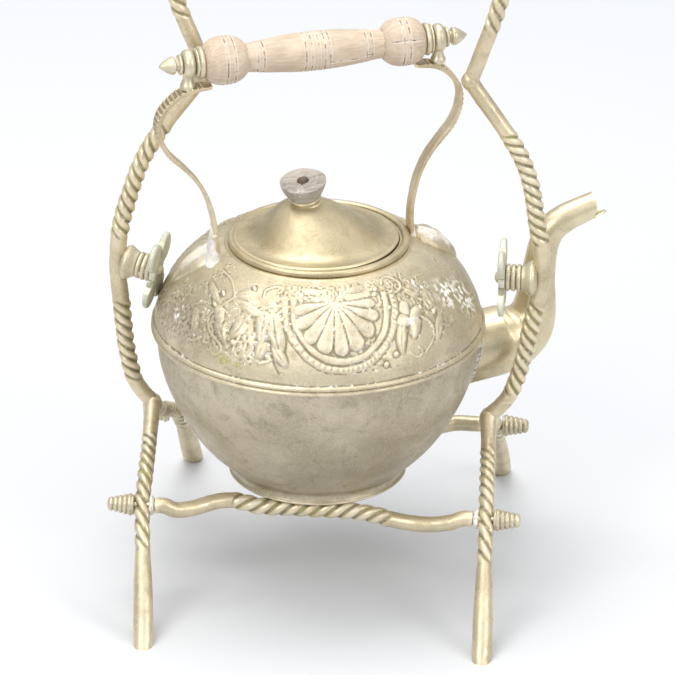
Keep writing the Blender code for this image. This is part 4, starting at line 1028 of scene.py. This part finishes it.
def build_strap_solder(label, side):
    """White solder round a strap's foot: a tall tongue on the left, with a rivet, and a small lump on the right."""
    foot = np.array(strap_knots(side)[0]) + np.array([side * 0.8, 0, 0])
    tall, wide = (23.0, 3.9) if side < 0 else (7.5, 2.9)
    theta = np.linspace(0, 2 * pi, 80, endpoint=False)
    levels = np.linspace(0, 1, 60)
    size = (1 - levels ** 1.6) ** 0.62
    flare = 1 + 0.45 * np.exp(-(levels * tall / 3.0) ** 2)
    grid = np.stack([np.outer(size * flare, np.cos(theta)) * wide, np.outer(size * flare, np.sin(theta)) * 5.4,
                     np.broadcast_to((levels * tall - 3.0)[:, None], (60, 80))], axis=-1)
    grid += (0.45 * noise(grid, 3.2, 121 + side) + 0.15 * noise(grid, 1.1, 123))[..., None] * np.array([0.6, 0.8, 0.3])
    stain = 0.35 + 0.6 * noise(grid, 4, 124)
    verts, faces = skin(grid + foot)
    piece("strap_solder_" + label, verts, faces, HANDLE, mat_solder, "kettle", rounds=6, stain=stain)
    if side < 0:
        head = [[(0, 1.2), (0.9, 1.1), (1.6, 0.6), (1.8, 0.0)], [(1.8, 0.0), (0, -1.5)]]
        place = HANDLE @ Matrix.Translation(Vector(foot) + Vector((-0.3, -3.9, 14.0))) @ Matrix.Rotation(pi / 2, 4, "X")
        turned("strap_rivet", head, place, mat_turned, "kettle", "aged_brass", cols=40, spacing=0.2)


LUGS = {"left": {"root": (-9.0, 3.5), "tip": (-11.0, 38.0), "width": 12.6},
        "right": {"root": (-1.0, 3.5), "tip": (0.0, 33.5), "width": 12.0}}   # degrees from the handle, depth in mm


def build_lugs():
    """Folded leaves on the shoulder below the straps' feet, with a sharp front edge and a keel."""
    slope = np.gradient(SHOULDER_PATH, axis=0)
    slope /= np.linalg.norm(slope, axis=1, keepdims=True)
    theta = np.linspace(0, 2 * pi, 128, endpoint=False)
    flat, up = np.cos(theta), np.sin(theta)
    along = np.linspace(0, 1, 90)
    for label, side in SIDES.items():
        lug = LUGS[label]
        depth = lug["root"][1] + (lug["tip"][1] - lug["root"][1]) * along
        swing = np.radians(lug["root"][0] + (lug["tip"][0] - lug["root"][0]) * along ** 1.5)
        width = lug["width"] * np.sin(pi * (0.04 + 0.96 * along) ** 0.70) ** 0.8 + 0.25
        crest = 5.6 * np.sin(pi * (0.10 + 0.90 * along) ** 0.62) ** 0.75 + 0.1
        radius = np.interp(depth, SHOULDER_RUN, SHOULDER_PATH[:, 0])
        height = np.interp(depth, SHOULDER_RUN, SHOULDER_PATH[:, 1])
        tangent = np.stack([np.interp(depth, SHOULDER_RUN, slope[:, k]) for k in range(2)], axis=1)
        normal = np.stack([-tangent[:, 1], tangent[:, 0]], axis=1)
        front = flat * side                     # 1 at the edge towards the viewer's side of the kettle
        fold = np.exp(-((front + 0.30) / 0.20) ** 2) - 0.5 * np.exp(-((front + 0.62) / 0.18) ** 2)
        crimp = 0.10 * np.cos(9 * pi * along)[:, None] * np.clip(front, 0, 1)[None, :]
        dome = np.abs(up)[None, :] ** 1.2 + 0.22 * fold[None, :] + crimp
        rise = np.where(up > 0, crest[:, None] * dome, -1.5 * np.abs(up))
        turn = swing[:, None] + (width[:, None] * flat[None, :] + 0.8 * crimp * width[:, None]) / radius[:, None]
        reach = radius[:, None] + rise * normal[:, 0][:, None]
        grid = np.stack([side * reach * np.cos(turn), side * reach * np.sin(turn),
                         height[:, None] + rise * normal[:, 1][:, None]], axis=-1)
        grid += (0.20 * noise(grid, 6, 131 + side) + 0.08 * noise(grid, 1.8, 133))[..., None] * np.array([0.5, 0.5, 0.7])
        stain = 1.2 * np.exp(-((front + 0.45) / 0.3) ** 2)[None, :] * (1 - along)[:, None] * (up > 0)[None, :]
        stain = stain + 0.5 * np.clip(noise(grid, 5, 134), 0, 1) * (up > 0)[None, :] - 0.15
        verts, faces = skin(grid)
        piece("leaf_lug_" + label, verts, faces, KETTLE @ Matrix.Rotation(HANDLE_TURN - KETTLE_TURN, 4, "Z"), mat_body,
              "kettle", ["handle_lug_" + label], rounds=10, stain=stain)


def build_handle_ends():
    for label, side in SIDES.items():
        place = HANDLE @ Matrix.Translation((HANDLE_SHIFT, 0, GRIP_Z)) @ Matrix.Rotation(side * pi / 2, 4, "Y")
        ferrule = [[(0, 65.9), (6.4, 65.9)],
                   [(6.4, 65.9), (7.6, 65.5), (8.0, 64.9), (7.4, 64.3), (8.3, 63.8), (8.8, 63.1), (8.9, 62.4), (8.5, 61.7),
                    (8.0, 61.3)], [(8.0, 61.3), (0, 61.3)]]
        turned("ringed_ferrule_" + label, ferrule, place, mat_turned, "kettle", "aged_brass", ["grip_ferrule_" + label],
               cols=96, spacing=0.25, ripple=dents(0.08, 4, 141 + side))
        eye = [[(0, 72.6), (4.8, 72.6)], [(4.8, 72.6), (6.4, 72.2), (7.6, 70.9), (7.9, 69.4), (7.6, 67.9), (6.4, 66.6),
                                        (5.0, 66.2)], [(5.0, 66.2), (0, 66.2)]]
        turned("handle_knuckle_" + label, eye, place, mat_turned, "kettle", "aged_brass", ["handle_eye_" + label],
               cols=96, spacing=0.3, ripple=dents(0.1, 4, 143 + side))
        stem_place = HANDLE @ Matrix.Translation((HANDLE_SHIFT + side * 69.4, 0, 0))
        stem = [[(0, GRIP_Z - 4), (3.0, GRIP_Z - 5)],
                [(3.0, GRIP_Z - 5), (2.7, GRIP_Z - 8), (3.4, GRIP_Z - 10.5), (4.1, GRIP_Z - 12.2), (3.9, GRIP_Z - 14.2)],
                [(3.9, GRIP_Z - 14.2), (0, GRIP_Z - 14.4)]]
        turned("knuckle_stem_" + label, stem, stem_place, mat_turned, "kettle", "aged_brass", cols=64, spacing=0.35,
               ripple=dents(0.15, 3, 145 + side))
        finial = [[(0, 85.3), (0.6, 85.1), (1.4, 84.4), (2.8, 82.4), (4.2, 80.1), (4.9, 78.3), (4.8, 77.2), (4.2, 76.6)],
                  [(4.2, 76.6), (3.5, 76.3), (3.3, 75.6), (3.7, 75.0)],
                  [(3.7, 75.0), (5.2, 74.6), (5.6, 74.0), (5.4, 73.4), (4.8, 72.9)], [(4.8, 72.9), (0, 72.9)]]
        turned("acorn_finial_" + label, finial, place, mat_turned, "kettle", "aged_brass", ["handle_finial_" + label],
               cols=80, spacing=0.2, ripple=dents(0.08, 3, 147 + side))


def build_grip():
    """The turned grip: two ribbed balls and a ribbed barrel, with drying cracks."""
    half = [(0.0, 10.6), (12, 10.3), (24, 9.2), (34, 8.0), (37.4, 7.9), (38.2, 8.9), (41, 11.3), (45, 12.8), (49.4, 13.1),
            (53.8, 12.8), (57.8, 11.2), (60.2, 8.8), (61.0, 7.2)]
    outer = smooth_path([(r, -u) for u, r in half[::-1]] + [(r, u) for u, r in half[1:]], 0.25)
    grooves = [-50.2, -45.8, -32.5, -29.1, -6.4, -3.0, 0.8, 4.2, 6.9, 27.5, 30.8, 47.5, 50.8]
    for at in grooves:
        outer[:, 0] -= 0.80 * np.exp(-((outer[:, 1] - at) / 0.50) ** 2)
        outer[:, 0] += 0.30 * np.exp(-((outer[:, 1] - at) / 1.1) ** 2)
    profile = np.vstack([[(0.02, -61.0), (5.0, -61.0)], outer, [(5.0, 61.0), (0.02, 61.0)]])

    def cracks(grid):
        angle = np.arctan2(grid[..., 1], grid[..., 0])
        along = grid[..., 2]
        moved = grid.copy()
        wander = 0.10 * noise(np.stack([along, 0 * along, 0 * along], axis=-1), 7, 151)
        for at, low, high, deep in ((-0.75, -58, -41, 1.1), (-1.25, 6, 30, 0.6), (-0.35, -28, -8, 0.5), (2.2, 40, 58, 0.8),
                                    (-1.9, 42, 57, 0.6), (1.4, -34, 4, 0.5)):
            gap = np.abs(angle - at - wander) * np.hypot(grid[..., 0], grid[..., 1])
            cut = deep * np.exp(-(gap / 0.32) ** 2) * inside(low, high, 3, along)
            moved[..., :2] *= (1 - cut / np.maximum(np.hypot(grid[..., 0], grid[..., 1]), 1))[..., None]
        worn = 0.14 * noise(grid, 9, 152)
        moved[..., :2] *= (1 + worn / np.maximum(np.hypot(grid[..., 0], grid[..., 1]), 1))[..., None]
        return moved

    verts, faces = skin(ring_grid(profile, 220, cracks))
    place = HANDLE @ Matrix.Translation((HANDLE_SHIFT, 0, GRIP_Z)) @ Matrix.Rotation(pi / 2, 4, "Y")
    piece("weathered_grip", verts, faces, place, mat_grip, "grip", ["wooden_grip"], rounds=10, angle=70)


# ---------------------------------------------------------------- lid

def build_lid():
    outer = [(7.5, 215.4), (12, 213.9), (18, 210.4), (24, 205.6), (29.5, 200.6), (33.5, 197.2), (36.8, 195.4),
             (40.5, 194.8), (43.6, 194.9), (44.6, 194.3)]
    low = [(44.6, 194.3), (44.3, 193.5), (40.5, 193.5), (36.4, 194.1)]
    inner = [(r - 0.75, z - 0.95) for r, z in outer[5::-1]]
    runs = [[(4.0, 215.9), (7.5, 215.4)], outer, low, inner, [(6.75, 214.45), (4.0, 214.7)]]
    wobble = dents(0.25, 15, 161)

    def shape(grid):
        moved = wobble(grid)
        moved[..., 0] += LID_LEAN * np.clip(moved[..., 2] - LID_SEAT, 0, None) / (LID_TOP - LID_SEAT)
        return moved

    turned("domed_lid", runs, LID, mat_lid, "lid", "aged_brass", ["lid"], cols=280, spacing=0.5, ripple=shape)
    washer = [[(0, 2.6), (7.6, 2.6)], [(7.6, 2.6), (8.3, 2.1), (8.5, 1.4), (8.2, 0.6), (9.0, 0.0), (9.4, -0.9)],
              [(9.4, -0.9), (0, -0.9)]]
    turned("knob_collar", washer, KNOB, mat_lid, "lid", "aged_brass", ["knob_washer"], cols=80, spacing=0.3,
           ripple=dents(0.1, 4, 162))
    knob = [[(0, 12.1), (2.6, 12.2), (6, 12.6), (9.5, 13.1), (11.2, 13.1), (12.2, 12.3), (12.2, 10.9), (11.6, 9.0),
             (10.5, 6.4), (9.4, 4.4), (8.6, 2.7)], [(8.6, 2.7), (0, 2.5)]]

    def worn(grid):
        angle = np.arctan2(grid[..., 1], grid[..., 0])
        reach = np.hypot(grid[..., 0], grid[..., 1])
        moved = dents(0.45, 6, 163)(grid)
        crack = 0.9 * np.exp(-(np.abs(angle + 2.0 + 0.1 * np.sin(reach)) * reach / 0.45) ** 2) * (reach > 2.5)
        moved[..., 2] -= crack * (grid[..., 2] > 10)
        moved[..., 2] += 0.18 * np.sin(reach * 2.1) * (grid[..., 2] > 11.5)
        return moved

    turned("worn_knob", knob, KNOB, mat_knob, "lid", "dark_wood", ["lid_knob"], cols=140, spacing=0.25, ripple=worn)
    head = [[(0, 14.0), (1.4, 13.9), (2.7, 13.3), (3.2, 12.4)], [(3.2, 12.4), (0, 12.0)]]
    turned("knob_rivet", head, KNOB, mat_iron, "lid", "iron", ["knob_screw"], cols=48, spacing=0.25,
           ripple=dents(0.2, 1.6, 164))


# ---------------------------------------------------------------- CAD nodes that stay, floor, light, camera

def dress_cad_nodes():
    """The pieces inside the object keep their CAD shape and get a real material."""
    for name, material in (("lid_rim", mat_lid), ("handle_rod", mat_iron), ("knob_nut", mat_turned)):
        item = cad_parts[name]
        item.data.materials.clear()
        item.data.materials.append(material)


def build_floor():
    mesh = bpy.data.meshes.new("floor")
    size = 30.0
    mesh.from_pydata([(-size, -size, 0), (size, -size, 0), (size, size, 0), (-size, size, 0)], [], [(0, 1, 2, 3)])
    floor = bpy.data.objects.new("floor", mesh)
    bpy.context.scene.collection.objects.link(floor)
    s = Shader("pale_floor")
    s.shader.inputs["Base Color"].default_value = (0.60, 0.61, 0.63, 1)
    s.shader.inputs["Roughness"].default_value = 0.85
    mesh.materials.append(s.material)


def area_light(name, spot, target, size, power, colour=(1, 1, 1)):
    data = bpy.data.lights.new(name, "AREA")
    data.shape = "RECTANGLE"
    data.size, data.size_y = size
    data.energy = power
    data.color = colour
    item = bpy.data.objects.new(name, data)
    item.location = spot
    item.rotation_euler = (Vector(target) - Vector(spot)).to_track_quat("-Z", "Y").to_euler()
    item.visible_camera = False
    bpy.context.scene.collection.objects.link(item)


def build_light():
    world = bpy.data.worlds.new("studio")
    bpy.context.scene.world = world
    world.use_nodes = True
    tree = world.node_tree
    background = tree.nodes["Background"]
    coords = node(tree, "ShaderNodeTexCoord")
    split = node(tree, "ShaderNodeSeparateXYZ")
    ramp = node(tree, "ShaderNodeMapRange", interpolation_type="SMOOTHSTEP")
    tree.links.new(coords.outputs["Generated"], split.inputs[0])
    tree.links.new(split.outputs["Z"], ramp.inputs["Value"])
    for key, value in (("From Min", -0.05), ("From Max", 0.9), ("To Min", 0.42), ("To Max", 1.0)):
        ramp.inputs[key].default_value = value
    tree.links.new(ramp.outputs["Result"], background.inputs["Strength"])
    background.inputs["Color"].default_value = (0.96, 0.98, 1.0, 1)
    area_light("overhead", (-0.25, 0.25, 1.9), (0, 0, 0.15), (1.5, 1.1), 26, (1.0, 0.985, 0.96))
    area_light("key", (-0.9, -1.5, 1.35), (0, 0, 0.18), (0.9, 0.9), 16, (1.0, 0.98, 0.95))
    area_light("fill", (1.5, -1.0, 1.15), (0, 0, 0.22), (0.8, 1.0), 13, (1.0, 0.99, 0.97))


def build_camera():
    """A long lens from the photograph's side: a little to the right of the front, and 25 degrees up."""
    turn, rise, roll = radians(4.69), radians(25.1), radians(0.37)
    distance, lens = 4.865, 480.0
    look_at = STAND.translation * MM + Vector((4.5 * cos(turn) + 12 * sin(turn), 4.5 * sin(turn) - 12 * cos(turn), 139.4)) * MM
    back = Vector((sin(turn) * cos(rise), -cos(turn) * cos(rise), sin(rise)))
    camera = bpy.data.cameras.new("camera")
    camera.lens = lens
    camera.sensor_width = 36
    camera.clip_start, camera.clip_end = 0.1, 100
    item = bpy.data.objects.new("camera", camera)
    bpy.context.scene.collection.objects.link(item)
    item.location = look_at + back * distance
    item.rotation_mode = "QUATERNION"
    aim = (-back).to_track_quat("-Z", "Y").to_matrix().to_4x4()
    item.rotation_quaternion = (aim @ Matrix.Rotation(roll, 4, "Z")).to_quaternion()
    bpy.context.scene.camera = item


build_camera()
build_floor()
build_light()
build_uprights()
build_arch()
build_legs()
build_stretchers()
build_nuts()
build_brazing()
build_bosses()
build_shoulder()
build_lower_body()
build_spout()
build_straps()
build_lugs()
build_handle_ends()
build_grip()
build_lid()
dress_cad_nodes()
bpy.context.scene.view_settings.view_transform = "Standard"
